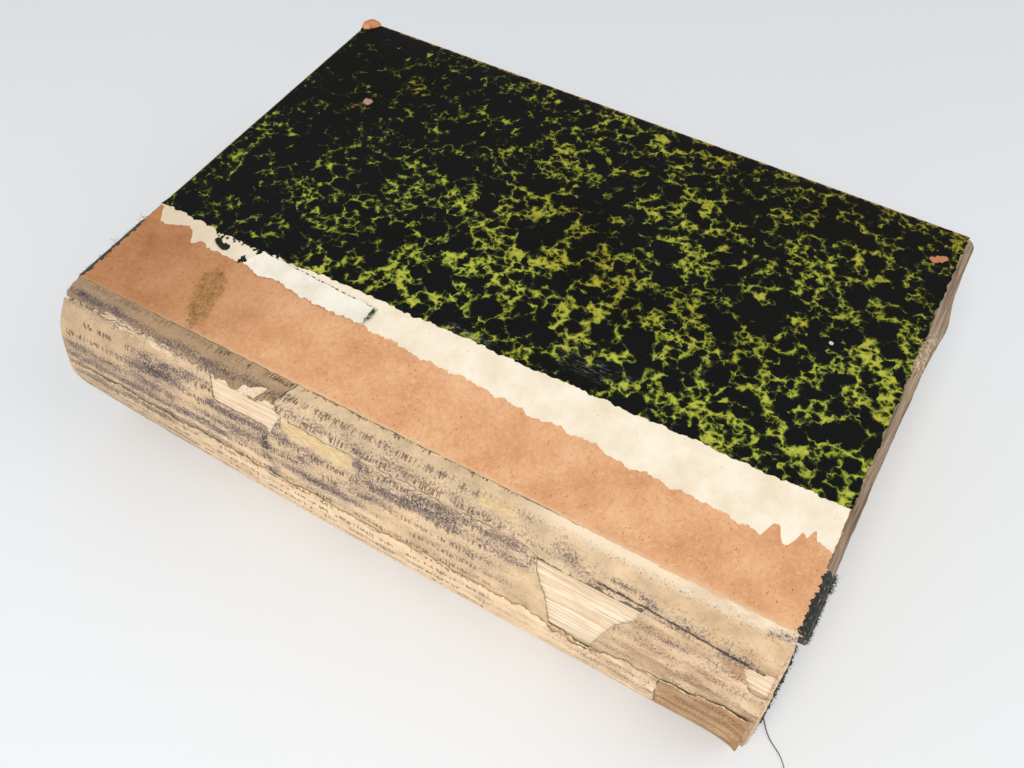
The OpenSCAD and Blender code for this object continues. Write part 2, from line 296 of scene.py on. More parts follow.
def merge(target, *others):
    """Joins other pieces' meshes into the target piece."""
    with bpy.context.temp_override(
        active_object=target, selected_editable_objects=[target, *others]
    ):
        bpy.ops.object.join()


# Material helpers. Materials work in millimetres, and their colours are display values to 255.
class Field:
    """A node's output that can stand in a sum. A sum with a tuple is a sum of vectors."""

    def __init__(self, nodes, socket):
        self.nodes, self.socket = nodes, socket

    def sum(self, operation, a, b):
        builder = self.nodes.vector if isinstance(b, tuple) else self.nodes.math
        return builder(operation, a, b)

    def __add__(self, other):
        return self.sum("ADD", self, other)

    def __mul__(self, other):
        return self.sum("MULTIPLY", self, other)

    def __sub__(self, other):
        return self.sum("SUBTRACT", self, other)

    def __rsub__(self, other):
        return self.sum("SUBTRACT", other, self)

    def __truediv__(self, other):
        return self.sum("DIVIDE", self, other)

    def __abs__(self):
        return self.nodes.math("ABSOLUTE", self)


class Nodes:
    """A small builder for one material's node tree. Its methods take and give Fields."""

    def __init__(self, name):
        self.material = bpy.data.materials.new(name)
        self.material.use_nodes = True
        self.tree = self.material.node_tree
        self.shader = self.tree.nodes["Principled BSDF"]

    def link(self, source, target):
        """Links a Field to a socket, or sets a number, a vector or a display colour on it."""
        if isinstance(source, Field):
            self.tree.links.new(source.socket, target)
        elif target.type == "RGBA":
            target.default_value = (*srgb(source), 1.0)
        else:
            target.default_value = source

    def new(self, kind, inputs, **settings):
        """A new node. Its inputs go by number or name, and settings are such as its operation."""
        node = self.tree.nodes.new("ShaderNode" + kind)
        for name, value in settings.items():
            setattr(node, name, value)
        for key, value in inputs.items():
            self.link(value, node.inputs[key])
        return node

    def value(self, kind, inputs, output=0, **settings):
        """One output of a new node."""
        return Field(self, self.new(kind, inputs, **settings).outputs[output])

    def attribute(self, name, output):
        return self.value("Attribute", {}, output, attribute_name=name)

    def flat(self):
        """The sheet's flat coordinates."""
        return self.scaled(self.attribute("flat", "Vector"), 1000)

    def plane(self):
        """The flat coordinates without the third value."""
        return self.flat() * (1.0, 1.0, 0.0)

    def marks(self):
        """A lining's wear: dirt with some painted shade, print left, pale fibres and smooth tan."""
        return (*self.split(self.attribute("marks", "Color")), self.attribute("marks", "Alpha"))

    def place(self):
        """Coordinates in the object's own space."""
        return self.scaled(self.value("TexCoord", {}, "Object"), 1000)

    def scaled(self, vector, factor):
        return self.value("VectorMath", {0: vector, "Scale": factor}, operation="SCALE")

    def vector(self, operation, a, b=(0.0, 0.0, 0.0)):
        output = "Value" if operation in ("LENGTH", "DISTANCE") else "Vector"
        return self.value("VectorMath", {0: a, 1: b}, output, operation=operation)

    def split(self, vector):
        node = self.new("SeparateXYZ", {0: vector})
        return [Field(self, socket) for socket in node.outputs]

    def join(self, x, y, z=0.0):
        return self.value("CombineXYZ", {0: x, 1: y, 2: z})

    def math(self, operation, *values):
        return self.value("Math", dict(enumerate(values)), operation=operation)

    def step(self, value, low, high, out_low=0.0, out_high=1.0):
        """A smooth ramp of a value from one range to another."""
        inputs = dict(enumerate((value, low, high, out_low, out_high)))
        return self.value("MapRange", inputs, interpolation_type="SMOOTHSTEP")

    def noise(self, vector, scale, detail=3.0, roughness=0.55, output="Fac"):
        inputs = {"Vector": vector, "Scale": scale, "Detail": detail, "Roughness": roughness}
        return self.value("TexNoise", inputs, output)

    def cells(self, vector, scale):
        """Scattered cells: the distance to each one's centre, and three random values."""
        node = self.new("TexVoronoi", {"Vector": vector, "Scale": scale})
        return Field(self, node.outputs["Distance"]), self.split(Field(self, node.outputs["Color"]))

    def dice(self, x, y):
        """Three random values for each whole-number place."""
        inputs = {"Vector": self.join(x, y)}
        return self.split(self.value("TexWhiteNoise", inputs, "Color", noise_dimensions="2D"))

    def ramp(self, value, *stops):
        """Blends colours, each given after the value that it belongs to."""
        node = self.new("ValToRGB", {0: value})
        items = node.color_ramp.elements
        while len(items) < len(stops):
            items.new(0.5)
        for item, (position, colour) in zip(items, stops):
            item.position = position
            item.color = (*srgb(colour), 1.0)
        return Field(self, node.outputs["Color"])

    def mix(self, amount, a, b, blend="MIX"):
        node = self.new("Mix", {"Factor": amount}, data_type="RGBA", blend_type=blend)
        for item, socket in zip((a, b), [s for s in node.inputs if s.type == "RGBA"]):
            self.link(item, socket)
        return Field(self, next(s for s in node.outputs if s.type == "RGBA"))

    def shift(self, vector, scale, amount):
        """Pushes a vector about by noise, for ragged outlines."""
        wander = self.noise(vector, scale, 2.0, 0.5, "Color") - (0.5, 0.5, 0.5)
        return self.vector("ADD", vector, self.scaled(wander, amount))

    def finish(self, colour, roughness, height, depth, specular=0.15, sheen=0.0):
        """Sets the finish, and bumps the surface by height times depth millimetres."""
        bump_inputs = {"Strength": 1.0, "Distance": depth * MM, "Height": height}
        for name, value in (
            ("Base Color", colour), ("Roughness", roughness), ("Specular IOR Level", specular),
            ("Sheen Weight", sheen), ("Normal", self.value("Bump", bump_inputs, "Normal")),
        ):
            self.link(value, self.shader.inputs[name])
        return self.material


def srgb(colour):
    """Linear values of a colour given as 0 to 255 display values."""
    linear = []
    for channel in colour:
        c = channel / 255
        linear.append(c / 12.92 if c <= 0.04045 else ((c + 0.055) / 1.055) ** 2.4)
    return tuple(linear)


def cloudy_material(name, noise_values, stops, roughness, depth, specular):
    """Small torn bits: clouds of a few tones, which also bump the surface."""
    n = Nodes(name)
    cloud = n.noise(n.place(), *noise_values)
    return n.finish(n.ramp(cloud, *stops), roughness, cloud, depth, specular)


def pulp_material():
    """Soft orange board pulp and torn paper fibre."""
    n = Nodes("board_pulp")
    place = n.place()
    cloud = n.noise(place, 0.5, 5.0, 0.7)
    colour = n.ramp(cloud, (0.3, (158, 98, 58)), (0.5, (206, 138, 92)), (0.72, (226, 170, 126)))
    return n.finish(colour, 0.9, n.noise(place, 2.0, 4.0, 0.7), 0.25, 0.1)


def marbled_material(name, worn=True):
    """Black clouds that crowd together and leave star-shaped yellow-green gaps and thin veins."""
    n = Nodes(name)
    plane = n.plane()
    moved = n.shift(n.shift(plane, 0.28, 3.6), 1.1, 1.3)
    cover = None
    # Clouds of four sizes: a cell's size, its least radius, the radius' spread and a seed
    for cell, least, spread, seed in (
        (8.2, 0.12, 0.40, 3.1), (4.6, 0.20, 0.44, 17.7),
        (2.7, 0.20, 0.42, 41.3), (1.5, 0.10, 0.34, 67.9),
    ):
        gap, (pick, _, _) = n.cells(moved + (seed, seed * 1.7, 0.0), 1 / cell)
        depth = pick * (spread * cell) + least * cell - gap * cell
        cover = depth if cover is None else n.math("MAXIMUM", cover, depth)
    fine = n.noise(plane, 2.8, 3.0, 0.6)
    crowd = n.noise(plane, 0.035, 2.0, 0.5)
    # The gaps are smaller at the head and beside the fore-edge
    x, y, _ = n.split(plane)
    close = n.step(y, 0.0, 95.0, -0.08, 0.30) + n.step(x, 50.0, 130.0, 0.0, 0.22)
    cover = (crowd - 0.46) * 0.9 + cover + (fine - 0.5) * 0.55 + close
    veins = n.ramp(
        n.step(cover, -0.95, 0.30), (0.0, (182, 182, 74)), (0.30, (158, 162, 56)),
        (0.58, (112, 122, 40)), (0.80, (50, 58, 22)), (1.0, (13, 15, 13)),
    )
    tint = n.noise(plane, 0.02, 2.0, 0.5)
    brown = n.mix(1.0, veins, (226, 186, 120), "MULTIPLY")
    far = n.step(x, 55.0, 120.0, 0.0, 0.30)
    colour = n.mix(n.step(tint, 0.45, 0.75, 0.0, 0.5) + far, veins, brown)
    # Fine mottling of the black
    grain = n.noise(plane, 1.4, 4.0, 0.65)
    colour = n.mix(n.step(grain, 0.52, 0.85, 0.0, 0.05), colour, (96, 100, 88))
    if worn:
        colour = wear(n, plane, colour)
    fibres = n.noise(plane * (1.0, 3.0, 1.0), 3.0, 4.0, 0.6)
    roughness = n.step(grain, 0.2, 0.8, 0.46, 0.62)
    return n.finish(colour, roughness, fibres, 0.05, 0.08)


def spot(n, plane, x, y, radius, seed=1.0):
    """A ragged round spot, 1 inside and 0 outside."""
    moved = n.shift(plane + (seed, seed, 0.0), 0.8, radius * 1.1)
    gap = n.vector("DISTANCE", moved, (x + seed, y + seed, 0.0))
    return n.step(gap, radius * 0.75, radius, 1.0, 0.0)


def band(n, value, centre, half, soft=0.15):
    """1 where a value lies within half of centre, fading over soft."""
    gap = abs(value - centre)
    return n.step(gap, half, half + soft, 1.0, 0.0)


def wear(n, plane, colour):
    """Rubbed edges, pale scuffs beside the torn edge and small chips on the front side paper."""
    x, y, _ = n.split(plane)
    fore = (FORE_X - JOINT_X) / MM
    head = HEAD_Y / MM
    edge = n.math("MINIMUM", fore - x, head - y)
    edge = n.math("MINIMUM", edge, y - TAIL_Y / MM)
    rub = n.noise(plane, 0.35, 4.0, 0.7)
    rubbed = n.step(rub * 5.0 + edge * -0.8, 2.2, 3.0)
    colour = n.mix(rubbed * 0.85, colour, (168, 128, 66))
    hard = n.step(rub * 3.0 + edge * -1.6, 1.55, 2.2)
    colour = n.mix(hard, colour, (178, 142, 98))
    # Scuffs: short pale streaks along the torn edge
    streak = n.noise(n.shift(plane, 0.5, 1.2) * (1.6, 0.30, 1.0), 1.3, 4.0, 0.75)
    near = band(n, x, 34.4, 0.5, 1.6) * band(n, y, 1.5, 5.0, 3.0)
    far = band(n, x, 40.5, 1.8, 2.2) * band(n, y, -31.0, 8.0, 4.0)
    scuff = n.step(streak, 0.52, 0.64) * n.math("MAXIMUM", near, far * 0.6)
    colour = n.mix(scuff * 0.65, colour, (132, 134, 126))
    # Chips: a place, a radius, a tone and a seed. Three of them make one long chip.
    orange = (186, 122, 84)
    for spot_x, spot_y, radius, tone, seed in (
        (98.6, 77.0, 1.7, (176, 136, 122), 3.0), (120.3, -92.9, 1.3, orange, 5.0),
        (121.1, -93.9, 1.3, orange, 7.0), (78.3, -78.6, 0.8, (196, 198, 176), 7.0),
        (122.0, -95.0, 1.3, orange, 9.0),
    ):
        colour = n.mix(spot(n, plane, spot_x, spot_y, radius, seed), colour, tone)
    return colour


def brown_material():
    """Fibrous orange-brown paper with dark flecks and an ochre glue stain."""
    n = Nodes("brown_paper")
    plane = n.plane()
    x, y, _ = n.split(plane)
    cloud = n.noise(plane, 0.07, 5.0, 0.65)
    colour = n.ramp(
        cloud, (0.30, (198, 142, 100)), (0.50, (218, 163, 118)), (0.72, (230, 182, 140)),
    )
    mottle = n.noise(n.shift(plane, 0.6, 1.4), 0.75, 5.0, 0.72)
    colour = n.mix(n.step(mottle, 0.50, 0.68, 0.0, 0.38), colour, (238, 194, 154))
    colour = n.mix(n.step(mottle, 0.48, 0.32, 0.0, 0.38), colour, (192, 134, 92))
    fibre = n.noise(n.shift(plane, 0.6, 1.2) * (1.0, 1.7, 1.0), 1.5, 6.0, 0.8)
    colour = n.mix(n.step(fibre, 0.54, 0.74, 0.0, 0.55), colour, (240, 196, 154))
    colour = n.mix(n.step(fibre, 0.46, 0.28, 0.0, 0.6), colour, (182, 122, 80))
    # Flecks: how they are stretched, how close they lie, a tone, a size and a strength
    for stretch, scale, tone, limit, strength in (
        ((0.5, 2.8, 1.0), 0.85, (104, 64, 44), 0.12, 0.85),
        ((2.8, 0.6, 1.0), 1.2, (132, 80, 52), 0.11, 0.8),
        ((1.2, 1.2, 1.0), 1.9, (120, 72, 50), 0.13, 0.8),
        ((0.35, 2.4, 1.0), 1.6, (150, 96, 62), 0.14, 0.6),
        ((2.2, 0.4, 1.0), 1.7, (156, 100, 66), 0.14, 0.6),
    ):
        gap, (_, pick, _) = n.cells(n.shift(plane, 0.8, 1.2) * stretch, scale)
        fleck = n.step(gap, limit, limit * 1.7, strength, 0.0) * n.step(pick, 0.76, 0.80)
        colour = n.mix(fleck, colour, tone)
    # Glue stain: a slanting band near the head, mottled, with dark specks
    blot = n.noise(n.shift(plane, 0.5, 1.6), 0.5, 5.0, 0.75)
    away = abs(y - (x * 0.32 + 63.8))
    half = n.step(x, 0.5, 7.0, 1.2, 3.8) + n.step(x, 11.0, 15.0, 0.0, 0.8)
    half = half - n.step(x, 16.5, 22.5, 0.0, 4.6)
    depth = half - ((blot - 0.5) * 5.5 + away)
    stain = n.step(depth, -0.6, 1.4)
    ochre = n.ramp(
        blot, (0.34, (118, 90, 46)), (0.48, (154, 120, 62)), (0.60, (190, 152, 90)),
        (0.74, (212, 176, 122)),
    )
    colour = n.mix(stain * n.step(mottle, 0.36, 0.60, 0.85, 0.35), colour, ochre)
    speckle = n.noise(plane, 1.5, 4.0, 0.8)
    dark = stain * n.step(speckle, 0.53, 0.60) * n.step(x, 20.0, 2.0, 0.35, 0.9)
    colour = n.mix(dark, colour, (78, 60, 36))
    wisps = n.noise(n.shift(plane, 0.7, 1.5) * (0.6, 2.0, 1.0), 1.0, 4.0, 0.7)
    colour = n.mix(stain * n.step(wisps, 0.58, 0.66, 0.0, 0.5), colour, (226, 196, 148))
    # Paler rubbed rim beside the joint
    rim = n.step(blot * 1.6 + x, 1.0, 2.2, 0.5, 0.0)
    colour = n.mix(rim, colour, (226, 192, 152))
    # Painted shade: a duller tone towards the head, where the light falls off
    dull = n.mix(n.step(y, 25.0, 95.0), (255, 255, 255), (208, 194, 182))
    colour = n.mix(1.0, colour, dull, "MULTIPLY")
    return n.finish(colour, 0.84, fibre * 0.7 + mottle * 0.5, 0.14)


def white_material(name, clean):
    """Torn white paper with fibrous skinned patches. A clean one is whiter and less aged."""
    n = Nodes(name)
    plane = n.plane()
    x, y, _ = n.split(plane)
    cloud = n.noise(plane, 0.12, 4.0, 0.6)
    if clean:
        dull, plain, bright = (222, 212, 192), (236, 229, 212), (242, 237, 224)
    else:
        dull, plain, bright = (230, 214, 186), (241, 228, 205), (247, 239, 222)
    colour = n.ramp(cloud, (0.3, dull), (0.55, plain), (0.8, bright))
    fibre = n.noise(n.shift(plane, 0.6, 1.0) * (1.6, 0.9, 1.0), 1.8, 6.0, 0.8)
    colour = n.mix(n.step(fibre, 0.46, 0.26, 0.0, 0.5), colour, (204, 182, 150))
    aged = n.step(y, 55.0, 92.0, 0.0, 0.25 if clean else 0.55)
    colour = n.mix(aged, colour, (200, 178, 146))
    gap, (pick, _, _) = n.cells(plane, 0.7)
    specks = n.step(gap, 0.08, 0.15, 0.6, 0.0) * n.step(pick, 0.86, 0.9)
    colour = n.mix(specks, colour, (130, 112, 90))
    if not clean:
        # A broken dark line beside the flap's far edge: painted shadow of that lifted edge, and
        # bits of the torn marbled layer
        off = x - (y * 0.047 + 28.25)
        dashes = n.step(n.noise(n.join(y * 0.9, 3.0), 1.0, 2.0, 0.6), 0.46, 0.56)
        torn = band(n, off, 0.16, 0.22) * dashes * band(n, y, 40.0, 13.0, 1.0)
        colour = n.mix(torn * 0.9, colour, (70, 62, 50))
    return n.finish(colour, 0.86, fibre, 0.12)


def print_marks(n, along, across, seed):
    """Worn print as simple shapes: rows of small upright strokes and blots in groups."""
    pitch, letter_width = 4.2, 0.95
    place = (across + seed * 1.3) / pitch
    row, number = n.math("FRACT", place), n.math("FLOOR", place)
    run = number * 7.31 + along
    run = run + n.noise(n.join(run, number * 5.0), 0.35, 1.0, 0.5) * 2.2
    cell = run / letter_width
    which, share = n.math("FLOOR", cell), n.math("FRACT", cell)
    first, second, third = n.dice(which, number)
    height = (row - 0.30) / 0.36
    # An upright stroke, now and then a taller one
    tall = n.step(third, 0.80, 0.82, 1.0, 1.5)
    span = n.step(height, -0.14, 0.04) * n.step(tall - height, -0.06, 0.12)
    tick = band(n, share, 0.30, 0.16, 0.10) * span * n.step(first, 0.30, 0.33)
    # A rounded blot beside it, high or low on the row
    level = n.step(third, 0.0, 1.0, 0.22, 0.78)
    dx, dy = (share - 0.68) * 1.2, height - level
    blot = n.step(n.vector("LENGTH", n.join(dx, dy)), 0.42, 0.26)
    blot = blot * n.step(second, 0.34, 0.37)
    shapes = n.math("MAXIMUM", tick, blot)
    group = n.noise(n.join(which * 0.15, number * 9.1), 1.0, 1.0, 0.4)
    broken = n.noise(n.join(along, across), 1.9, 4.0, 0.75)
    return shapes * n.step(group, 0.42, 0.45) * n.step(broken, 0.38, 0.50), row


def lining_material(name, seed, base, dirt_tone, ink, warm=0.0):
    """Old printed waste paper: rows of small broken marks, abrasion, dust, dark rubbed dirt and
    some painted light and shade.

    ink is how strong the print is left, and warm adds to the brown stains.
    """
    n = Nodes(name)
    along, round_back, _ = n.split(n.flat())
    dirt, letters, pale_part, tan = n.marks()
    plane = n.join(along, round_back) + (seed * 13.0, seed * 7.0, 0.0)
    cloud = n.noise(plane, 0.12, 5.0, 0.65)
    dark = tuple(c * 0.86 for c in base)
    pale = tuple(min(255, c * 1.10) for c in base)
    colour = n.ramp(cloud, (0.30, dark), (0.5, base), (0.72, pale))
    grain = n.noise(plane * (0.6, 1.4, 1.0), 1.1, 6.0, 0.8)
    colour = n.mix(n.step(grain, 0.50, 0.34, 0.0, 0.32), colour, tuple(c * 0.74 for c in base))
    # Painted highlight: lighter beside the joint near the tail, on the rounded lip there. Duller at
    # the head
    bright = n.step(along, -28.0, -50.0) * n.step(cloud * 3.0 + round_back, 5.6, 2.0)
    colour = n.mix(bright * 0.80, colour, (246, 228, 200))
    colour = n.mix(n.step(along, 30.0, 95.0, 0.0, 0.42), colour, (150, 124, 100))
    # Brown stains that grow towards the tail
    stain = n.noise(plane * (0.5, 1.6, 1.0), 0.16, 4.0, 0.6)
    tailward = n.step(along, -45.0, -90.0, 0.12 + warm, 0.75 + warm)
    colour = n.mix(n.step(stain, 0.40, 0.62) * tailward, colour, (170, 126, 84))
    shapes, row = print_marks(n, along, round_back, seed)
    kept = n.step(n.noise(plane, 0.13, 4.0, 0.65), 0.34, 0.50, 0.25, 1.0)
    colour = n.mix(shapes * kept * letters * ink, colour, (62, 50, 42))
    # Dirt, with the painted shade lines in its mask: fine dark purple-grey specks over a paler
    # veil, thicker along the rows of print
    smear = n.noise(n.shift(plane, 1.4, 0.5) * (1.15, 0.95, 1.0), 1.55, 6.0, 0.88)
    patchy = n.noise(plane * (0.6, 1.0, 1.0), 0.22, 3.0, 0.6)
    rows = n.math("SINE", row * (2 * math.pi)) * 0.03
    amount = dirt * n.step(patchy, 0.34, 0.62, 0.6, 1.15)
    heavy = amount * 0.20 + smear + rows
    veil = n.step(amount, 0.0, 0.9) * n.step(smear, 0.36, 0.60, 0.30, 0.80)
    colour = n.mix(veil * 0.60, colour, dirt_tone)
    colour = n.mix(n.step(heavy, 0.60, 0.635, 0.0, 0.80), colour, (86, 74, 78))
    thick = n.step(amount, 0.50, 1.05) * 0.19 + smear
    colour = n.mix(n.step(thick, 0.62, 0.66, 0.0, 0.88), colour, (54, 48, 58))
    # Abrasion: pale torn fibres along the back, and smooth tan places
    fibre = n.noise(n.shift(plane, 0.5, 1.0) * (0.25, 1.7, 1.0), 1.3, 6.0, 0.8)
    lifted = pale_part * 0.20 + fibre
    colour = n.mix(n.step(lifted, 0.56, 0.72, 0.0, 0.62), colour, (242, 216, 180))
    smooth = n.mix(n.step(fibre, 0.40, 0.62), (196, 164, 116), (226, 202, 156))
    colour = n.mix(n.step(tan, 0.15, 0.6) * 0.8, colour, smooth)
    # Painted shade: a dark broken line for the crease and shadow at the upper lining's loose edge,
    # near the tail
    drop = n.math("MINIMUM", along + 56.0, 0.0)
    crease = round_back - 8.9 - drop * drop * 0.001
    crease = n.noise(n.join(along * 0.4, 5.0), 1.0, 2.0, 0.6) * 0.8 + crease
    ledge_shade_line = band(n, crease, 0.4, 0.12, 0.22) * n.step(along, -54.0, -60.0, 0.0, 0.85)
    broken = n.noise(n.join(along * 0.5, round_back), 0.8, 3.0, 0.7)
    colour = n.mix(ledge_shade_line * n.step(broken, 0.34, 0.46, 0.35, 1.0), colour, (58, 46, 42))
    return n.finish(colour, 0.86, fibre * 0.6 + smear * 0.4, 0.18)


def fold_material():
    """Section folds and page edges: pinkish cream paper with fine uneven lines along the pages."""
    n = Nodes("page_paper")
    along, layer, kind = n.split(n.flat())
    # The third flat value is 0 on the back's folds and 1000 on the page edges
    edge_mix = n.step(kind, 400.0, 600.0)
    drift = n.noise(n.join(along * 0.05, layer * 0.3), 1.0, 2.0, 0.5)
    across = layer + drift * 1.2
    fine = n.noise(n.join(along * 0.012, across), 2.6, 5.0, 0.85)
    broad = n.noise(n.join(along * 0.02, across * 0.35), 1.0, 3.0, 0.6)
    lines = fine * 0.65 + broad * 0.35
    folds = n.ramp(
        lines, (0.34, (190, 152, 116)), (0.44, (224, 198, 166)), (0.54, (236, 220, 194)),
        (0.72, (242, 231, 210)),
    )
    edges = n.ramp(
        lines, (0.30, (166, 138, 100)), (0.5, (208, 186, 146)), (0.75, (226, 206, 168)),
    )
    colour = n.mix(edge_mix, folds, edges)
    # Thin broken brown lines between the leaves
    gap = abs(n.math("FRACT", across / 0.62) - 0.5)
    broken = n.step(n.noise(n.join(along * 0.06, layer * 1.1), 1.0, 3.0, 0.7), 0.42, 0.58)
    thin = n.step(gap, 0.16, 0.06) * broken * n.step(kind, 600.0, 400.0, 0.25, 0.70)
    colour = n.mix(thin, colour, (146, 98, 60))
    # Shadow and dirt under the upper lining's loose edge
    under = band(n, layer, 9.9, 0.75, 0.55) * band(n, along, -55.0, 13.0, 2.0)
    colour = n.mix(under * n.step(kind, 600.0, 400.0) * 0.85, colour, (74, 56, 44))
    cloud = n.noise(n.place(), 0.12, 4.0, 0.6)
    colour = n.mix(n.step(cloud, 0.5, 0.8, 0.0, 0.35), colour, (206, 168, 126))
    # A few small red and brown marks on the folds
    gap, (pick, _, _) = n.cells(n.join(along * 0.10, layer * 0.22), 1.0)
    some = n.step(pick, 0.88, 0.90) * n.step(kind, 400.0, 200.0)
    colour = n.mix(n.step(gap, 0.10, 0.16, 0.7, 0.0) * some, colour, (190, 88, 74))
    return n.finish(colour, 0.88, lines, 0.16)


def endpaper_material():
    """Plain aged paper with a few brown spots."""
    n = Nodes("endpaper")
    place = n.place()
    cloud = n.noise(place, 0.03, 4.0, 0.6)
    colour = n.ramp(
        cloud, (0.3, (196, 178, 140)), (0.55, (212, 196, 160)), (0.8, (222, 208, 176)),
    )
    gap, (pick, _, _) = n.cells(n.shift(place, 0.3, 3.0), 0.13)
    spots = n.step(gap, 0.05, 0.22, 0.35, 0.0) * n.step(pick, 0.8, 0.84)
    colour = n.mix(spots, colour, (160, 122, 76))
    return n.finish(colour, 0.85, n.noise(place, 3.0, 4.0, 0.6), 0.05, 0.2)


def board_material():
    """Layered pasteboard: grey-brown plies, torn and streaked along the tail edge."""
    n = Nodes("pasteboard")
    place = n.place()
    x, y, z = n.split(place)
    cloud = n.noise(place, 0.25, 4.0, 0.65)
    plies = n.noise(n.join(0.0, 0.0, z + cloud * 0.5), 2.4, 3.0, 0.8)
    colour = n.ramp(plies, (0.3, (88, 74, 60)), (0.5, (132, 112, 90)), (0.72, (168, 146, 118)))
    colour = n.mix(n.step(cloud, 0.52, 0.75, 0.0, 0.4), colour, (160, 118, 84))
    # Torn plies are long streaks along the tail edge, with pale fibres where they are torn most
    streak = n.noise(n.join(x * 0.06, y * 1.5, z * 1.8), 1.0, 4.0, 0.75)
    layered = n.ramp(
        streak, (0.36, (88, 72, 60)), (0.47, (130, 110, 92)), (0.58, (160, 140, 118)),
        (0.74, (196, 180, 156)),
    )
    tail = n.step(y, -95.0, -98.0)
    colour = n.mix(tail * 0.85, colour, layered)
    torn = band(n, x, 27.0, 5.0, 5.0) * tail * n.step(n.noise(place, 0.9, 5.0, 0.8), 0.48, 0.60)
    colour = n.mix(torn * 0.7, colour, (216, 194, 160))
    return n.finish(colour, 0.86, n.noise(place, 2.0, 5.0, 0.7), 0.15, 0.2)


def cloth_material():
    """Dark green-black book cloth with a fine weave, paler threads and whitish rubbed flecks."""
    n = Nodes("spine_cloth")
    place = n.place()
    x, y, z = n.split(place)
    warp = n.math("SINE", (x + z) * 13.0)
    weft = n.math("SINE", (y + z * 0.3) * 13.0)
    weave = warp * weft * 0.5 + 0.5
    cloud = n.noise(place, 0.35, 4.0, 0.65)
    colour = n.ramp(cloud, (0.3, (22, 24, 21)), (0.6, (36, 38, 33)), (0.85, (64, 62, 50)))
    colour = n.mix(weave * 0.25, colour, (58, 60, 52))
    rubbed = n.noise(place, 1.1, 4.0, 0.75)
    colour = n.mix(n.step(rubbed, 0.46, 0.60, 0.0, 0.35), colour, (92, 90, 82))
    colour = n.mix(n.step(rubbed, 0.60, 0.68, 0.0, 0.75), colour, (172, 164, 146))
    return n.finish(colour, 0.80, weave, 0.08, specular=0.25, sheen=0.15)


def thread_material(name, colour):
    """A thread, or a paper's rim, that brightens in clouds."""
    n = Nodes(name)
    cloud = n.noise(n.place(), 0.8, 3.0, 0.6)
    bright = tuple(min(255, c * 1.7 + 8) for c in colour)
    tone = n.mix(n.step(cloud, 0.35, 0.75), colour, bright)
    return n.finish(tone, 0.8, cloud, 0.03, specular=0.2, sheen=0.2)


def scrap_material():
    """A dulled scrap of white paper with torn fibres."""
    n = Nodes("white_scrap")
    fibre = n.noise(n.flat() * (0.8, 1.6, 1.0), 1.1, 5.0, 0.75)
    colour = n.ramp(
        fibre, (0.32, (176, 150, 120)), (0.46, (214, 192, 160)), (0.66, (230, 212, 184)),
    )
    return n.finish(colour, 0.88, fibre, 0.15)


MARBLED = marbled_material("marbled_paper")
MARBLED_REAR = marbled_material("marbled_paper_rear", worn=False)
BROWN = brown_material()
WHITE = white_material("white_paper", False)
FLAP = white_material("white_flap", True)
SCRAP = scrap_material()
MARBLED_DARK = cloudy_material(
    "marbled_scrap", (1.3, 3.0, 0.6),
    ((0.4, (16, 18, 15)), (0.62, (34, 40, 26)), (0.8, (96, 108, 50))), 0.6, 0.03, 0.2,
)
CURL = cloudy_material(
    "marbled_curl", (0.9, 3.0, 0.6),
    ((0.38, (34, 52, 34)), (0.5, (96, 128, 84)), (0.62, (196, 206, 176))), 0.7, 0.03, 0.2,
)
FIBRE = cloudy_material(
    "torn_fibre", (1.4, 4.0, 0.7),
    ((0.35, (172, 138, 104)), (0.55, (214, 184, 150)), (0.75, (236, 216, 188))), 0.9, 0.1, 0.1,
)
PULP = pulp_material()
LINING_A = lining_material("lining_head", 1.0, (170, 142, 110), (112, 100, 92), ink=0.95)
LINING_B = lining_material(
    "lining_middle", 2.0, (210, 182, 146), (158, 142, 132), ink=0.95, warm=-0.35,
)
LINING_C = lining_material("lining_main", 3.0, (216, 187, 150), (160, 142, 138), ink=0.90)
# The low lining's paler tone is partly its own and partly painted light, for the little light that
# reaches the back's lower, down-facing side
LINING_D = lining_material("lining_low", 5.0, (238, 208, 170), (186, 160, 146), ink=0.95)
LINING_E = lining_material(
    "lining_tail", 8.0, (192, 156, 114), (140, 116, 100), ink=0.0, warm=0.2,
)
LINING_RIM = thread_material("lining_rim", (186, 152, 118))
# Painted shade: a dark rim finish for the shadow line along the upper linings' loose edges
LINING_SHADED_RIM = thread_material("lining_dark_rim", (58, 46, 42))
PAGES = fold_material()
ENDPAPER = endpaper_material()
BOARD = board_material()
CLOTH = cloth_material()
DARK_THREAD = thread_material("dark_thread", (30, 34, 28))
PALE_THREAD = thread_material("pale_thread", (112, 110, 74))


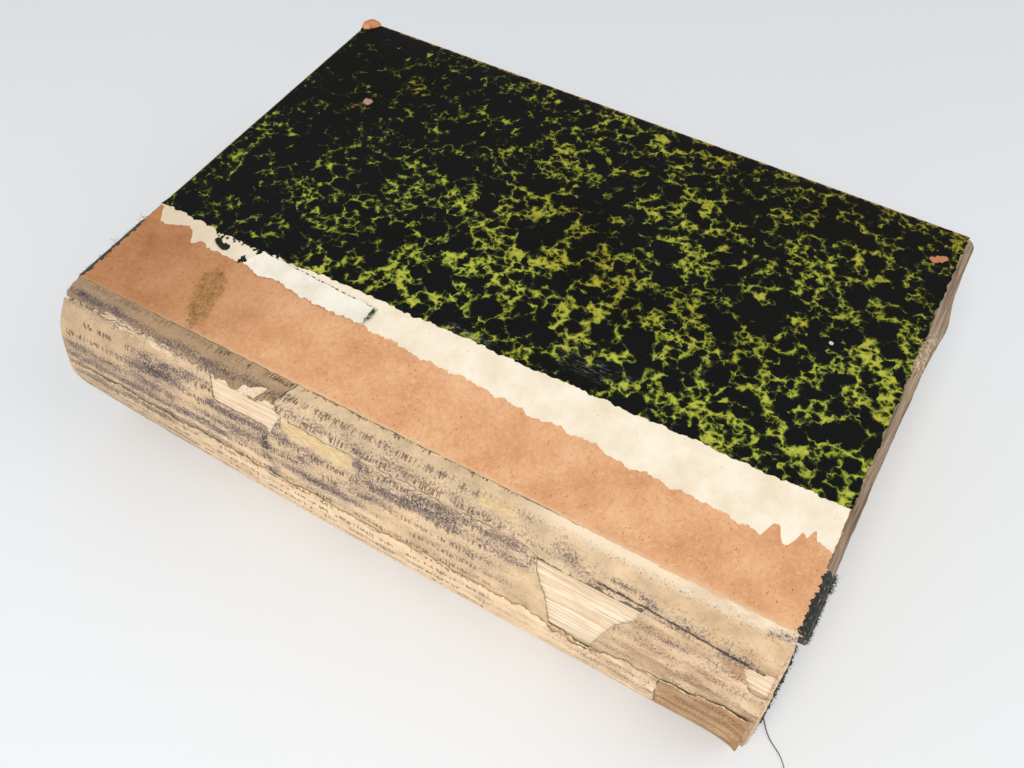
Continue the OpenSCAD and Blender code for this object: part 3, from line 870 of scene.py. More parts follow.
# The text block: one solid whose leaves end at slightly different places
def build_text_block():
    """Pages with four leaves to a section. A leaf's rim has some rows along y and across x."""
    per_section, rows, across = 4, 28, 18
    rng = random.Random(11)
    half_l = BLOCK_HEAD
    widths = [rng.uniform(0.72, 1.28) for _ in range(SECTIONS)]
    bounds = [sum(widths[:i]) / sum(widths) for i in range(SECTIONS + 1)]
    depths = [rng.uniform(0.45, 1.0) * FOLD_H for _ in range(SECTIONS)]
    turn_x = JOINT_X - JOINT_GAP

    def share_at(k):
        """How far up the block leaf k lies, from 0 to 1."""
        section, part = divmod(k, per_section)
        if section == SECTIONS:
            return 1.0
        return bounds[section] + (bounds[section + 1] - bounds[section]) * part / per_section

    vertices, flat, rings = [], [], []
    heights = [-half_l + 2 * half_l * j / rows for j in range(rows + 1)]

    def ring(k, jitter, seed):
        """One leaf's rim: up the fold, along the head, down the fore-edge and along the tail."""
        share = share_at(k)
        angle = 180 * (1 - share)
        section, part = min(k // per_section, SECTIONS - 1), k % per_section
        depth = depths[section] * math.sin(math.pi * part / per_section) - FOLD_H
        middle = 1 - (2 * share - 1) ** 2
        body_z = BODY_LOW + (BODY_HIGH - BODY_LOW) * share
        bend_x = turn_x + 5 * MM * middle
        fore_x = BLOCK_FORE - FORE_HOLLOW * middle
        fold_len = arc_at(angle)
        loop = []

        def put(x, y, z, kind, run):
            loop.append(len(vertices))
            vertices.append((float(x), float(y), float(z)))
            flat.append((run, fold_len if kind == 0 else share * 45 * MM, kind))

        def along(i, y):
            """A leaf leaves its fold in a curve and is flat from the bend to the fore-edge."""
            x0, z0 = back_point(angle, depth, y)
            bend, t = 0.4, i / across
            if t < bend:
                k = t / bend
                return x0 + (bend_x - x0) * k, z0 + (body_z - z0) * k * k * (3 - 2 * k)
            return bend_x + (fore_x - bend_x) * (t - bend) / (1 - bend), body_z

        for y in heights:
            x, z = back_point(angle, depth, y)
            put(x, y, z, 0.0, y)
        for i in range(1, across):
            x, z = along(i, half_l)
            put(x, half_l + jitter, z, 1.0, x)
        for y in reversed(heights):
            ripple = 0.10 * MM * noise.noise(Vector((y * 40, seed * 0.37, 2.0)))
            put(fore_x + jitter + ripple, y, body_z, 1.0, y)
        for i in range(across - 1, 0, -1):
            x, z = along(i, -half_l)
            put(x, -half_l - jitter, z, 1.0, x)
        rings.append(loop)

    for k in range(SECTIONS * per_section):
        jitter = rng.uniform(-0.16, 0.05) * MM
        if rng.random() < 0.06:
            jitter -= 0.25 * MM
        ring(k, jitter, k)
        ring(k + 1, jitter, k)
    faces = walls(rings)

    def cap(loop, up):
        """Closes the first or the last leaf with a grid between its fold and its fore-edge."""
        grid = [[None] * (rows + 1) for _ in range(across + 1)]
        head_side = loop[rows + 1:rows + across]
        fore = loop[rows + across:rows + across + rows + 1]
        tail_side = loop[rows + across + rows + 1:]
        for j in range(rows + 1):
            grid[0][j] = loop[j]
            grid[across][j] = fore[rows - j]
        for i in range(1, across):
            grid[i][rows] = head_side[i - 1]
            grid[i][0] = tail_side[across - 1 - i]
            x, _, z = vertices[grid[i][0]]
            for j in range(1, rows):
                grid[i][j] = len(vertices)
                vertices.append((x, heights[j], z))
                flat.append((x, 0.0, 1.0))
        for i in range(across):
            for j in range(rows):
                quad = (grid[i][j], grid[i + 1][j], grid[i + 1][j + 1], grid[i][j + 1])
                faces.append(quad if up else quad[::-1])

    cap(rings[0], False)
    cap(rings[-1], True)
    piece = finish_mesh("pages", vertices, faces, flat, 30, (PAGES,))
    attach(piece, "block", "page_paper", "text_block")


# Boards: a rounded outline drawn at several heights, each ply worn back a little differently
def board_outline(step):
    """Points round a board with their outward directions, from the joint's tail corner onwards."""
    r = CORNER_R
    points = [(x, TAIL_Y, 0, -1) for x in line(JOINT_X, FORE_X - r, step)]
    points += arc(FORE_X - r, TAIL_Y + r, r, -90, 0, 11)
    points += [(FORE_X, y, 1, 0) for y in line(TAIL_Y + r, HEAD_Y - r, step)]
    points += arc(FORE_X - r, HEAD_Y - r, r, 0, 90, 11)
    points += [(x, HEAD_Y, 0, 1) for x in line(FORE_X - r, JOINT_X, step)]
    points += [(JOINT_X, y, -1, 0) for y in line(HEAD_Y, TAIL_Y, step)]
    return points


def build_board(name, node, body, z0, bare):
    """A pasteboard. A bare one's edges are open to wear, and paper still wraps the other's."""
    outline = board_outline(1.2 * MM if bare else 1.6 * MM)
    plies = 7
    arris, worn_arris = 0.35 * MM, 1.1 * MM
    levels = [0.0, 0.12 * MM, arris]
    levels += [arris + (BOARD_T - 2 * arris) * i / (2 * plies) for i in range(1, 2 * plies)]
    levels += [BOARD_T - d for d in (arris, 0.22 * MM, 0.12 * MM, 0.04 * MM, 0.0)]
    vertices, rings = [], []
    for level in levels:
        ply = int(level / BOARD_T * plies)
        loop = []
        for x, y, nx, ny in outline:
            tail_worn = bare and ny < -0.3
            depth = min(level, BOARD_T - level)
            rounding = worn_arris if tail_worn and level > BOARD_T / 2 else arris
            inset = rounding - math.sqrt(rounding ** 2 - max(rounding - depth, 0) ** 2)
            worn = 0.30 * MM if tail_worn else 0.08 * MM
            seed = Vector((x * 90, y * 90, ply * 3.1))
            back = worn * (noise.noise(seed) + 0.5 * noise.noise(seed * 3.3)) - inset
            if tail_worn:
                # Upper plies are torn back at one place, and lower ones stand off beside it
                share, along = level / BOARD_T, (x - JOINT_X) / MM
                back -= 0.7 * MM * share ** 2 * math.exp(-((along - 88) / 7) ** 2)
                back += 0.5 * MM * math.exp(-((along - 88) / 26) ** 2)
                loose = clamp((0.75 - share) / 0.25)
                back += 1.2 * MM * loose * math.exp(-((along - 99) / 9) ** 2)
            back = min(back, 2.0 * MM) if nx >= 0 else min(back, 0.0)
            loop.append(len(vertices))
            vertices.append((x + nx * back, y + ny * back, z0 + level))
        rings.append(loop)
    faces = walls(rings) + [rings[0][::-1], rings[-1]]
    attach(finish_mesh(name, vertices, faces, None, 40, (BOARD,)), body, "board", node)


# Side papers: a flat outline draped over the board and down its edges
EDGE_ROUND = 0.55 * MM
EDGE_DROP = BOARD_T + 2 * SKIN - 2 * EDGE_ROUND
WRAP = EDGE_ROUND * math.pi + EDGE_DROP
FLAT_X = FORE_X + SKIN - EDGE_ROUND
FLAT_Y = HEAD_Y + SKIN - EDGE_ROUND
BEND_R = CORNER_R + SKIN - EDGE_ROUND


def drape(u, v, depth, top, sign):
    """Carries a flat place on a side paper over the board's rounded edge. u is from the joint."""
    x, y = JOINT_X + u, v
    qx, qy = x - (FLAT_X - BEND_R), abs(y) - (FLAT_Y - BEND_R)
    if qx > 0 and qy > 0:
        reach = math.hypot(qx, qy)
        out, dx, dy = reach - BEND_R, qx / reach, qy / reach
    elif qx > qy:
        out, dx, dy = qx - BEND_R, 1.0, 0.0
    else:
        out, dx, dy = qy - BEND_R, 0.0, 1.0
    dy = math.copysign(dy, y)
    if out <= 0:
        return (x, y, top - sign * depth)
    base_x, base_y = x - dx * out, y - dy * out
    quarter = EDGE_ROUND * math.pi / 2
    r = EDGE_ROUND - depth
    if out < quarter:
        a = out / EDGE_ROUND
        side, fall = r * math.sin(a), EDGE_ROUND - r * math.cos(a)
    elif out < quarter + EDGE_DROP:
        side, fall = r, EDGE_ROUND + out - quarter
    else:
        a = min((out - quarter - EDGE_DROP) / EDGE_ROUND, math.pi / 2)
        side, fall = r * math.cos(a), EDGE_ROUND + EDGE_DROP + r * math.sin(a)
    return (base_x + dx * side, base_y + dy * side, top - sign * fall)


def drape_outline(torn, tail_cut=None, tip=None):
    """A side paper's flat outline, from its torn edge out to the turned edges.

    tail_cut is where it is worn off at the tail, and tip how much of its head corner is lost.
    """
    core_x, corner_step = FLAT_X - JOINT_X, 6
    far_x, far_y = core_x + WRAP, FLAT_Y + WRAP
    cx, cy, r = core_x - BEND_R, FLAT_Y - BEND_R, BEND_R + WRAP
    low = -far_y if tail_cut is None else tail_cut
    points = [(torn(y), y) for y in line(far_y, low, 0.5 * MM)]
    if tail_cut is None:
        points += [(x, -far_y) for x in line(torn(low), cx, 1.6 * MM)]
        points += [p[:2] for p in arc(cx, -cy, r, -90, 0, corner_step)]
    else:
        for x in line(torn(low), far_x - 0.5 * MM, 0.8 * MM):
            points.append((x, tail_cut + 0.25 * MM * rough(x, 21, 2.5 * MM)))
    first_y = -cy if tail_cut is None else tail_cut
    last_y = cy if tip is None else FLAT_Y - tip
    points += [(far_x, y) for y in line(first_y, last_y, 1.6 * MM)]
    if tip is None:
        points += [p[:2] for p in arc(cx, cy, r, 0, 90, corner_step)]
        first_x = cx
    else:
        first_x, middle = core_x - tip, 0.42 * tip
        ends = [(far_x, last_y), (core_x - middle, FLAT_Y - middle), (first_x, far_y)]
        for (ax, ay), (bx, by) in zip(ends, ends[1:]):
            for t in line(0, 1, 0.09):
                wobble = 0.3 * MM * rough(t * tip + ax, 23, 1.2 * MM)
                points.append((ax + (bx - ax) * t + wobble, ay + (by - ay) * t + wobble))
    points += [(x, far_y) for x in line(first_x, torn(far_y), 1.6 * MM)]
    return points


def fine_paper_edge(y):
    """The same torn edge with its fine tearing."""
    return paper_edge(y) + 0.28 * MM * rough(y, 2, 1.6 * MM)


def build_side_paper(name, node, body, top, sign, material, outline):
    """A side paper and its turned-in strips, as one piece. sign is 1 on the front cover."""
    thick, under_thick = SKIN * 0.8, SKIN * 0.9

    def place(u, v, side):
        return drape(u, v, thick * (1 - side), top, sign)

    sheet = paper(name, outline, 3 * MM, place, (material, WHITE), rim_slot=1)
    inner = top - sign * (BOARD_T + 2 * SKIN)
    x1, y1, corner = FLAT_X - JOINT_X, FLAT_Y, 1.5 * MM
    in_x, in_y = x1 - TURN_IN, y1 - TURN_IN
    strip = [
        (PAPER_X, y1), (PAPER_X, in_y), (in_x, in_y), (in_x, -in_y), (PAPER_X, -in_y),
        (PAPER_X, -y1), (x1 - corner, -y1), (x1, -y1 + corner), (x1, y1 - corner),
        (x1 - corner, y1),
    ]

    def under(u, v, side):
        return (JOINT_X + u, v, inner + sign * under_thick * (1 - side))

    name += "_turned"
    strips = paper(name, strip, 6 * MM, under, (material, WHITE), rim_slot=1)
    (sheet if sign < 0 else strips).data.flip_normals()
    merge(sheet, strips)
    attach(sheet, body, "marbled_paper", node)


def build_front_papers():
    """The brown paper, the white layer on it, and the scraps and the flap on that."""
    top = BOOK_TOP - SKIN
    head, tail = HEAD_Y - 0.3 * MM, TAIL_Y + TAIL_WEAR

    def brown_left(y):
        lip = 0.5 * MM * plateau(y, -75 * MM, 32 * MM, 20 * MM)
        return 0.15 * MM - lip + 0.12 * MM * rough(y, 31, 3 * MM)

    def brown_place(u, v, side):
        lift = 0.05 * MM * math.exp(-max(u, 0) / (1.2 * MM))
        lift *= plateau(v, -72 * MM, 34 * MM, 20 * MM)
        swell = 0.05 * MM * noise.noise(Vector((u * 120, v * 120, 3.0)))
        return (JOINT_X + u, v, top + lift + (PAPER_T + swell) * side)

    def brown_tail(x):
        worn = 1.2 * (x < 17 * MM)
        return tail + (0.18 * rough(x, 33, 2 * MM) + 0.08 * rough(x, 34, 0.8 * MM) - worn) * MM

    def brown_head(x):
        return head + (0.15 * rough(x, 35, 2 * MM) - 0.5 * (x < 25 * MM)) * MM

    outline = [(brown_left(y), y) for y in line(head, tail, 0.8 * MM)]
    outline += [(x, brown_tail(x)) for x in line(brown_left(tail), 32 * MM, 0.5 * MM)]
    outline += [(paper_edge(y) - 0.9 * MM, y) for y in line(tail, head, 2 * MM)]
    outline += [(x, brown_head(x)) for x in line(32 * MM, brown_left(head), 1 * MM)]
    skins = (BROWN, FIBRE)
    piece = paper("brown_paper", outline, 2.6 * MM, brown_place, skins, rim_slot=1)
    attach(piece, "front_cover", "brown_paper", "front_brown_paper")

    def white_place(u, v, side):
        edge = max(u - white_left(v), 0)
        curl = 0.06 * MM * math.exp(-edge / (0.7 * MM))
        swell = 0.05 * MM * noise.noise(Vector((u * 200, v * 200, 9.0)))
        z = top + PAPER_T + 0.02 * MM + curl * side + (0.09 * MM + swell) * side
        return (JOINT_X + u, v, z)

    low, high = tail + 0.1 * MM, head - 0.2 * MM
    outline = [(white_left(y), y) for y in line(high, low, 0.3 * MM)]
    outline += [
        (x, low + 0.18 * MM * rough(x, 36, 1.5 * MM))
        for x in line(white_left(low), fine_paper_edge(low), 0.6 * MM)
    ]
    outline += [(fine_paper_edge(y) - 0.05 * MM, y) for y in line(low, high, 0.4 * MM)]
    outline += [(x, high) for x in line(fine_paper_edge(high), white_left(high), 1.5 * MM)]
    piece = paper("white_paper", outline, 2.0 * MM, white_place, (WHITE,))
    attach(piece, "front_cover", "white_paper", "front_white_paper")
    build_scraps(top + PAPER_T + 0.16 * MM)
    build_flap(top + PAPER_T)


def white_left(y):
    """The torn edge of the white layer, with its fine tearing."""
    torn = white_edge(y) + (0.45 * rough(y, 41, 3.5 * MM) + 0.22 * rough(y, 42, 0.9 * MM)) * MM
    return min(torn, fine_paper_edge(y) - 0.25 * MM)


def blot_outline(x, y, radius, seed, stretch, turn):
    """A small ragged closed outline round a place given in millimetres."""
    points = []
    for a in line(0, 2 * math.pi, 0.3):
        r = radius * (1 + 0.30 * math.sin(3 * a + seed) + 0.22 * math.sin(7 * a + 2 * seed))
        px, py = r * math.cos(a) * stretch, r * math.sin(a) / stretch
        c, s = math.cos(turn), math.sin(turn)
        points.append(((x + px * c - py * s) * MM, (y + px * s + py * c) * MM))
    return points


def build_scraps(base):
    """Small bits of the marbled layer that are left on the white one, the largest curled up."""
    curled = [
        (29.6, 78.4), (28.3, 78.5), (27.3, 77.2), (26.6, 75.6), (26.3, 74.2), (26.9, 73.3),
        (28.0, 73.1), (28.9, 73.8), (28.7, 74.6), (29.1, 75.2), (28.3, 75.4), (28.8, 76.4),
        (29.9, 77.4),
    ]
    outlines = [[(x * MM, y * MM) for x, y in curled]]
    rng = random.Random(57)
    # Each spot is a place, a radius and a stretch, in millimetres
    spots = [
        (26.3, 67.4, 1.15, 1.1), (30.4, 65.3, 0.6, 1.0), (31.3, 78.7, 0.45, 1.3),
        (30.6, 76.1, 0.4, 1.0), (31.2, 68.4, 0.4, 1.2), (31.2, 61.6, 0.45, 1.2),
    ]
    for _ in range(26):
        y = rng.uniform(59.0, 80.0)
        x = paper_edge(y * MM) / MM - abs(rng.gauss(0.3, 0.55))
        spots.append((x, y, rng.uniform(0.16, 0.42), rng.uniform(0.8, 1.3)))
    for i, (x, y, radius, stretch) in enumerate(spots):
        outlines.append(blot_outline(x, y, radius, i * 1.7, stretch, i * 0.9))

    def place(u, v, side):
        lift = 0.0
        if u < 30 * MM and v > 72.5 * MM:
            lift = 0.55 * max(0.0, (v / MM - 73) / 5) * clamp((29.2 - u / MM) / 2)
        return (JOINT_X + u, v, base + (lift + 0.06 * side) * MM)

    parts = [
        paper("marbled_scraps_%d" % i, outline, 0.5 * MM, place, (MARBLED_DARK,))
        for i, outline in enumerate(outlines)
    ]
    merge(*parts)
    attach(parts[0], "front_cover", "marbled_paper")


def build_flap(base):
    """A loose strip of the torn layer, white side up. Its far edge stands off, its end curls."""
    y0, y1 = 66 * MM, 26.4 * MM

    def near(y):
        return white_left(y) - 0.25 * MM

    def far(y):
        ends = min(1.0, 0.25 + (y0 - y) / (3 * MM))
        full = 27.9 * MM + 0.047 * y + 0.18 * MM * rough(y, 63, 3 * MM)
        return near(y) + max(full - near(y), 1.2 * MM) * ends

    def place(u, v, side):
        along = clamp((y0 - v) / (y0 - y1))
        over = clamp((u - near(v)) / max(far(v) - near(v), 1 * MM))
        ripple = 0.5 + 0.5 * math.sin(along * 23)
        rise = (0.05 + 0.25 * along + (0.25 + 0.30 * ripple * along) * over ** 2) * MM
        end = max(along - 0.93, 0) / 0.07
        z = base + 0.20 * MM + rise + 0.5 * MM * end ** 2 + 0.12 * MM * side
        return (JOINT_X + u, v + 0.8 * MM * end ** 3 * over, z)

    outline = [(near(y), y) for y in line(y0, y1, 0.4 * MM)]
    ending = line(near(y1), far(y1), 0.4 * MM)
    outline += [(x, y1 + 0.3 * MM * rough(x, 65, 1 * MM)) for x in ending]
    outline += [(far(y), y) for y in line(y1, y0, 0.4 * MM)]
    skins = (FLAP, MARBLED_DARK)
    piece = paper("white_flap", outline, 0.8 * MM, place, skins, under_slot=1)
    attach(piece, "front_cover", "white_paper", "front_white_flap")

    # The curl at its end shows the marbled side: a narrow roll across the strip
    def roll(t, w, side):
        turn = math.pi * 1.1 * w / (1.5 * MM)
        radius = (0.42 + 0.15 * side) * MM
        z = base + 0.8 * MM + 0.1 * t + radius * math.cos(turn)
        return (JOINT_X + near(y1) + t, y1 - 0.1 * MM - radius * math.sin(turn), z)

    length = far(y1) - near(y1)
    curl = [(t, 0.15 * MM * rough(t, 66, 1 * MM)) for t in line(0.3 * MM, length, 0.35 * MM)]
    curl += [(t, 1.5 * MM * t / length + 0.1 * MM) for t in line(length, 0.3 * MM, 0.35 * MM)]
    piece = paper("flap_curl", curl, 0.3 * MM, roll, (CURL,))
    attach(piece, "front_cover", "marbled_paper")


def build_corner_tip():
    """Swollen bare pulp where the paper has worn off the fore corner at the head."""
    places = [
        (128.6, 100.3), (130.2, 101.3), (132.4, 101.7), (134.2, 101.3), (135.0, 100.2),
        (135.2, 98.4), (134.6, 96.6), (133.6, 95.9), (132.0, 96.9), (130.2, 98.3),
    ]
    outline = torn_shape(places, 0.25, 0.12, seed=93, grain=0.4)
    centre = Vector((132.5 * MM, 99.2 * MM))

    def place(u, v, side):
        away = min(1.0, (Vector((u, v)) - centre).length / (3.6 * MM))
        bulge = 0.10 * MM * noise.noise(Vector((u * 900, v * 900, 1.0)))
        if side:
            return (JOINT_X + u, v, BOOK_TOP + (0.70 - away ** 3) * MM + bulge)
        slope = 0.70 if away > 0.8 else 1.0
        mid_u, mid_v = centre.x + (u - centre.x) * slope, centre.y + (v - centre.y) * slope
        return (JOINT_X + mid_u, mid_v, BOOK_TOP - 2.4 * MM)

    piece = paper("corner_tip", outline, 0.7 * MM, place, (PULP,))
    attach(piece, "front_cover", "board")


# Linings: papers on the back, drawn flat as the height and the distance round the back
def upper_head_edge(y):
    """The lower edge of the upper lining at the head."""
    degrees = 22 + 7 * plateau(y, 40 * MM, 12 * MM, 8 * MM) + 1.8 * wave(y, 3)
    return arc_at(degrees) + 0.45 * MM * rough(y, 71, 1.6 * MM)


def upper_tail_edge(y):
    """The lower edge of the upper lining towards the tail."""
    degrees = 33 + 6 * plateau(y, -90 * MM, 52 * MM, 6 * MM)
    degrees += 4 * plateau(y, -88 * MM, 12 * MM, 8 * MM)
    return arc_at(degrees + 1.2 * wave(y, 4)) + 0.30 * MM * rough(y, 72, 1.8 * MM)


def window(v, low, high, low_side, high_side):
    """1 between two places, rising over low_side and falling over high_side."""
    return max(0.0, min(1.0, (v - low) / low_side, (high - v) / high_side))


# The large bare place: heights in millimetres, and how many degrees the main lining stops short
LARGE_WINDOW = (
    (-68.8, -67.7, -64.0, -61.0, -59.4, -48.4, -46.6, -44.6, -43.0, -42.2),
    (0, 15, 27, 46, 56, 56, 34, 24, 13, 0),
)


def main_top_edge(y):
    degrees = (23 if y > SEAM_Y else 35) + 1.2 * wave(y, 5)
    degrees += 25 * window(y / MM, 29, 52, 2.5, 3)
    degrees += 8 * plateau(y, SEAM_Y + 1 * MM, 3 * MM, 2 * MM)
    degrees += float(np.interp(y / MM, *LARGE_WINDOW))
    degrees += 24 * plateau(y, LINING_TAIL, 9 * MM, 5 * MM)
    return arc_at(degrees) + 0.26 * MM * rough(y, 73, 1.4 * MM)


def main_top(y):
    """The main lining's upper edge. It starts below the upper linings."""
    above = upper_head_edge(y) if y > SEAM_Y else upper_tail_edge(y)
    return max(main_top_edge(y), above + 0.2 * MM)


def lower_top_edge(y):
    degrees = 88 - 80 * max(0.0, y - 0.020) + 5 * bump(y, -54 * MM, 14 * MM) + 2 * wave(y, 6)
    return arc_at(degrees) + 0.3 * MM * rough(y, 75, 1.6 * MM)


def tail_top_edge(y):
    degrees = 78 + 430 * (y - LINING_TAIL) + wave(y, 11)
    return arc_at(degrees) + 0.3 * MM * rough(y, 77, 1.6 * MM)


def rear_line(y):
    return arc_at(178)


def joint_line(y):
    return -0.35 * MM + 0.1 * MM * rough(y, 91, 3 * MM)


def flap_ledge(y):
    """Lift of the upper lining's loose edge, where it stands off and throws a shadow."""
    return 0.75 * MM * plateau(y, -66 * MM, 30 * MM, 8 * MM) * (0.75 + 0.35 * wave(y, 14))


def lining_point(y, s, lift, side):
    """A place on the back. Near the joint the papers rise to meet the cover's papers."""
    if s < 0:
        x, z = back_point(0.0, lift, y)
        x -= s
    else:
        x, z = back_point(angle_at(s), lift, y)
    rise = 0.42 * MM + 0.20 * MM * plateau(y, -56 * MM, 22 * MM, 10 * MM)
    z += rise * math.exp(-((max(s, 0) / (3.2 * MM)) ** 2))
    # Both faces stay within the book's thickness, so that the covers can open flat
    inset = (0.20 - 0.10 * side) * MM
    z = min(max(z, inset + (0.1 * MM if side < 0.5 else 0)), BOOK_TOP - inset)
    return (float(x), y, float(z))


def build_lining(
    name, node, material, y0, y1, top, bottom, lift,
    ends=(0.0, 0.0), edge_curl=0.0, ledge=None, upper=False,
):
    """One lining paper between two edge lines on the back.

    lift is how far it lies off the folds, and ends and edge_curl are how far its two ends
    and its upper edge stand off. ledge lifts the lower edge of an upper lining.
    """
    def end(y, seed, first, last):
        return [(y + 0.12 * MM * rough(s, seed, 1.5 * MM), s) for s in line(first, last, 0.6 * MM)]

    outline = [(y, top(y)) for y in line(y0, y1, 0.4 * MM)] + end(y1, 81, top(y1), bottom(y1))
    outline += [(y, bottom(y)) for y in line(y1, y0, 0.5 * MM)]
    outline += end(y0, 83, bottom(y0), top(y0))

    def place(y, s, side):
        def near(distance, reach):
            return math.exp(-max(distance, 0) / (reach * MM))

        raised = edge_curl * near(s - top(y), 1.6) * (0.6 + 0.4 * wave(y, 9))
        raised += ends[0] * near(y - y0, 2.5) + ends[1] * near(y1 - y, 2.5)
        if ledge:
            raised += ledge(y) * near(bottom(y) - s, 2.2)
        wrinkle = 0.10 * MM * noise.fractal(Vector((y * 160, s * 330, lift * 9000)), 0.9, 2.0, 4)
        wrinkle += crease_height(y / MM, s / MM)
        d = lift + max(raised + wrinkle, -0.05 * MM) + LINING_T * side
        bent = y
        if upper:
            # The seam between the two upper pieces runs in a curve
            bent += 3.0 * MM * clamp(s / (6 * MM)) * near(abs(y - SEAM_Y), 7)
        point = lining_point(bent, s, d, side)
        # The tail piece's end stands off to the side only, not down into the table
        if ends[0] > 1 * MM and y < y0 + 4 * MM and point[2] < 6 * MM:
            flat_point = lining_point(bent, s, lift + LINING_T * side, side)
            point = (point[0] - raised * 0.3, flat_point[1], flat_point[2])
        return point

    # Painted shade: the upper linings' rims, and the loose-edged one's underside, take the dark rim
    # finish
    skins = (material, LINING_SHADED_RIM if upper else LINING_RIM)
    under_slot = 1 if ledge else 0
    piece = paper(name, outline, 1.0 * MM, place, skins, rim_slot=1, under_slot=under_slot)
    paint(piece)
    attach(piece, "block", "lining_paper", node)


# Wrinkles that stand up from the back. Each is a height, then places (height on the back,
# distance round it), all in millimetres.
CREASES = (
    (0.22, (97.6, 0.5), (97.4, 5.0)), (0.20, (97.0, 5.6), (92.0, 6.2)),
    (0.25, (-32.4, 7.2), (-43.1, 5.0)), (0.25, (-50.8, 6.6), (-60.0, 5.6), (-67.2, 8.1)),
    (0.25, (-72.8, 8.2), (-81.3, 10.4), (-86.4, 10.8)), (0.35, (-87.5, 15.2), (-98.4, 15.6)),
    (0.35, (-94.8, 21.2), (-98.6, 22.0)), (0.25, (-63.0, 34.0), (-97.0, 36.0)),
    (0.30, (-39.0, 28.8), (-45.7, 31.4), (-52.7, 33.1), (-59.4, 31.4)),
    (0.20, (-70.0, 20.0), (-97.0, 25.0)), (0.20, (-72.0, 24.5), (-97.0, 30.0)),
)


def crease_height(y, s):
    """How far the wrinkles lift a lining at a place in millimetres."""
    width, gain = 1.2, 1.5
    return gain * MM * max(rise * stroke(y, s, width, *places) for rise, *places in CREASES)


def paint(piece):
    """Stores how worn a lining is at each point: dirt with some painted shade, print left, pale
    fibres and smooth tan.
    """
    mesh = piece.data
    flat = np.empty(len(mesh.vertices) * 3, np.float32)
    mesh.attributes["flat"].data.foreach_get("vector", flat)
    values = [marks_at(y / MM, s / MM) for y, s, _ in flat.reshape(-1, 3)]
    layer = mesh.attributes.new("marks", "FLOAT_COLOR", "POINT")
    layer.data.foreach_set("color", np.asarray(values, np.float32).ravel())


# Where dirt is thick, pale fibres show, or the paper is smooth and tan. A few dirt lines are
# painted shade. Each line is a strength and a half width, then places (height on the back,
# distance round it), all in millimetres.
DIRT_AND_SHADE = (
    (0.85, 2.0, (97, 4.0), (84, 4.2), (69, 4.6), (54, 4.8), (45, 5.4)),
    (0.45, 2.4, (70, 15.8), (56, 14.0)), (1.0, 2.2, (50, 14.2), (44, 14.4), (35, 14.0)),
    (0.9, 3.0, (33, 16), (31, 21)), (0.85, 3.0, (29.7, 25), (31, 28)),
    (0.8, 2.6, (22, 17), (17, 15)), (0.50, 2.6, (87, 22.4), (80, 25.8)),
    (0.75, 1.8, (8, 7.6), (4.3, 11)), (0.72, 2.0, (5, 11), (-6.8, 12), (-19.7, 11.2)),
    (0.78, 2.0, (-25, 10.8), (-35, 10.6), (-42, 11.8)),
    (0.50, 2.0, (-12, 14), (-30, 15.5), (-42, 14)), (0.70, 2.4, (12, 20), (6, 24)),
    (0.40, 2.0, (-22, 20), (-34, 21)), (0.60, 1.6, (-20, 8.2), (-40, 8.0), (-56, 8.0)),
    # Painted shade, with dirt: this line and the short one from (-93, 10.6) to (-98, 10.2) follow
    # the upper lining's loose edge, where its shadow falls
    (0.85, 1.2, (-56, 9.0), (-75, 9.4), (-90, 10.2), (-97, 10.8)),
    (0.70, 1.0, (-60, 7.0), (-74, 8.2), (-88, 9.0)), (0.75, 2.2, (-46, 5.4), (-51, 7)),
    (0.6, 2.0, (-66, 12), (-80, 14)), (0.35, 2.0, (-33, 21), (-40, 24)),
    (0.80, 1.4, (-95, 1.2), (-99, 0.8)), (0.8, 0.9, (-93, 10.6), (-98, 10.2)),
)
PALE = (
    (0.9, 1.3, (87, 5.8), (75, 6.0), (64, 6.8)), (0.8, 1.2, (0, 19.5), (-12, 20.5)),
    (0.7, 1.5, (99, 24.0), (60, 24.5), (30, 25.2), (-5, 25.8)),
    (0.7, 1.5, (-50, 1.2), (-74, 1.0)), (0.6, 1.4, (60, 20), (40, 21.5)),
    (0.9, 0.8, (-87.5, 15.2), (-98.4, 15.6)), (0.9, 0.8, (-94.8, 21.2), (-98.6, 22)),
)
TAN = (
    (1.0, 2.1, (27.0, 9.9), (18.0, 10.4), (9.0, 10.9)), (0.55, 2.4, (-27, 3.8), (-33, 4.2)),
    (0.5, 2.2, (2, 22), (-10, 21.5)),
)


def thickest(lines, y, s):
    return max(strength * stroke(y, s, half, *places) for strength, half, *places in lines)


def marks_at(y, s):
    """Dirt with some painted shade, print left, pale fibres and smooth tan at a place on the back
    in millimetres.
    """
    wander = noise.noise(Vector((y * 0.11, s * 0.16, 4.0)))
    y, s = y + 1.5 * wander, s + 1.2 * wander
    tan = thickest(TAN, y, s)
    patch = min(1.0, 0.75 + 0.9 * noise.noise(Vector((y * 0.055, s * 0.10, 9.0))))
    middle = window(s, 6, 31, 5, 9) * window(y, -46, 90, 10, 16)
    middle *= 1 - 0.5 * window(y, -60, 4, 5, 14) * window(s, 13, 60, 3, 5)
    low = window(s, 30, 62, 6, 3) * window(y, -46, 104, 8, 3)
    low *= 0.45 + 0.55 * window(y, 40, 104, 30, 3)
    tail = window(y, -104, -44, 2, 10) * (0.30 + 0.70 * window(s, 8, 70, 3, 3))
    head = window(s, 15, 33, 4, 4) * window(y, 56, 102, 8, 4)
    upper = window(s, 1.5, 9, 2, 2) * window(y, -46, 104, 8, 4)
    dirt = max(
        0.76 * middle * patch, 0.32 * low, 0.34 * tail, 0.60 * head, 0.42 * upper,
        0.9 * thickest(DIRT_AND_SHADE, y, s),
    )
    letters = 0.9 * window(y, -36, 100, 6, 2)
    if s < 9:
        letters *= window(y, -44, 60, 4, 6) + 0.5 * window(y, 58, 97, 4, 4)
    kept = 1 - 0.9 * tan
    return dirt * kept, letters * kept, thickest(PALE, y, s), tan


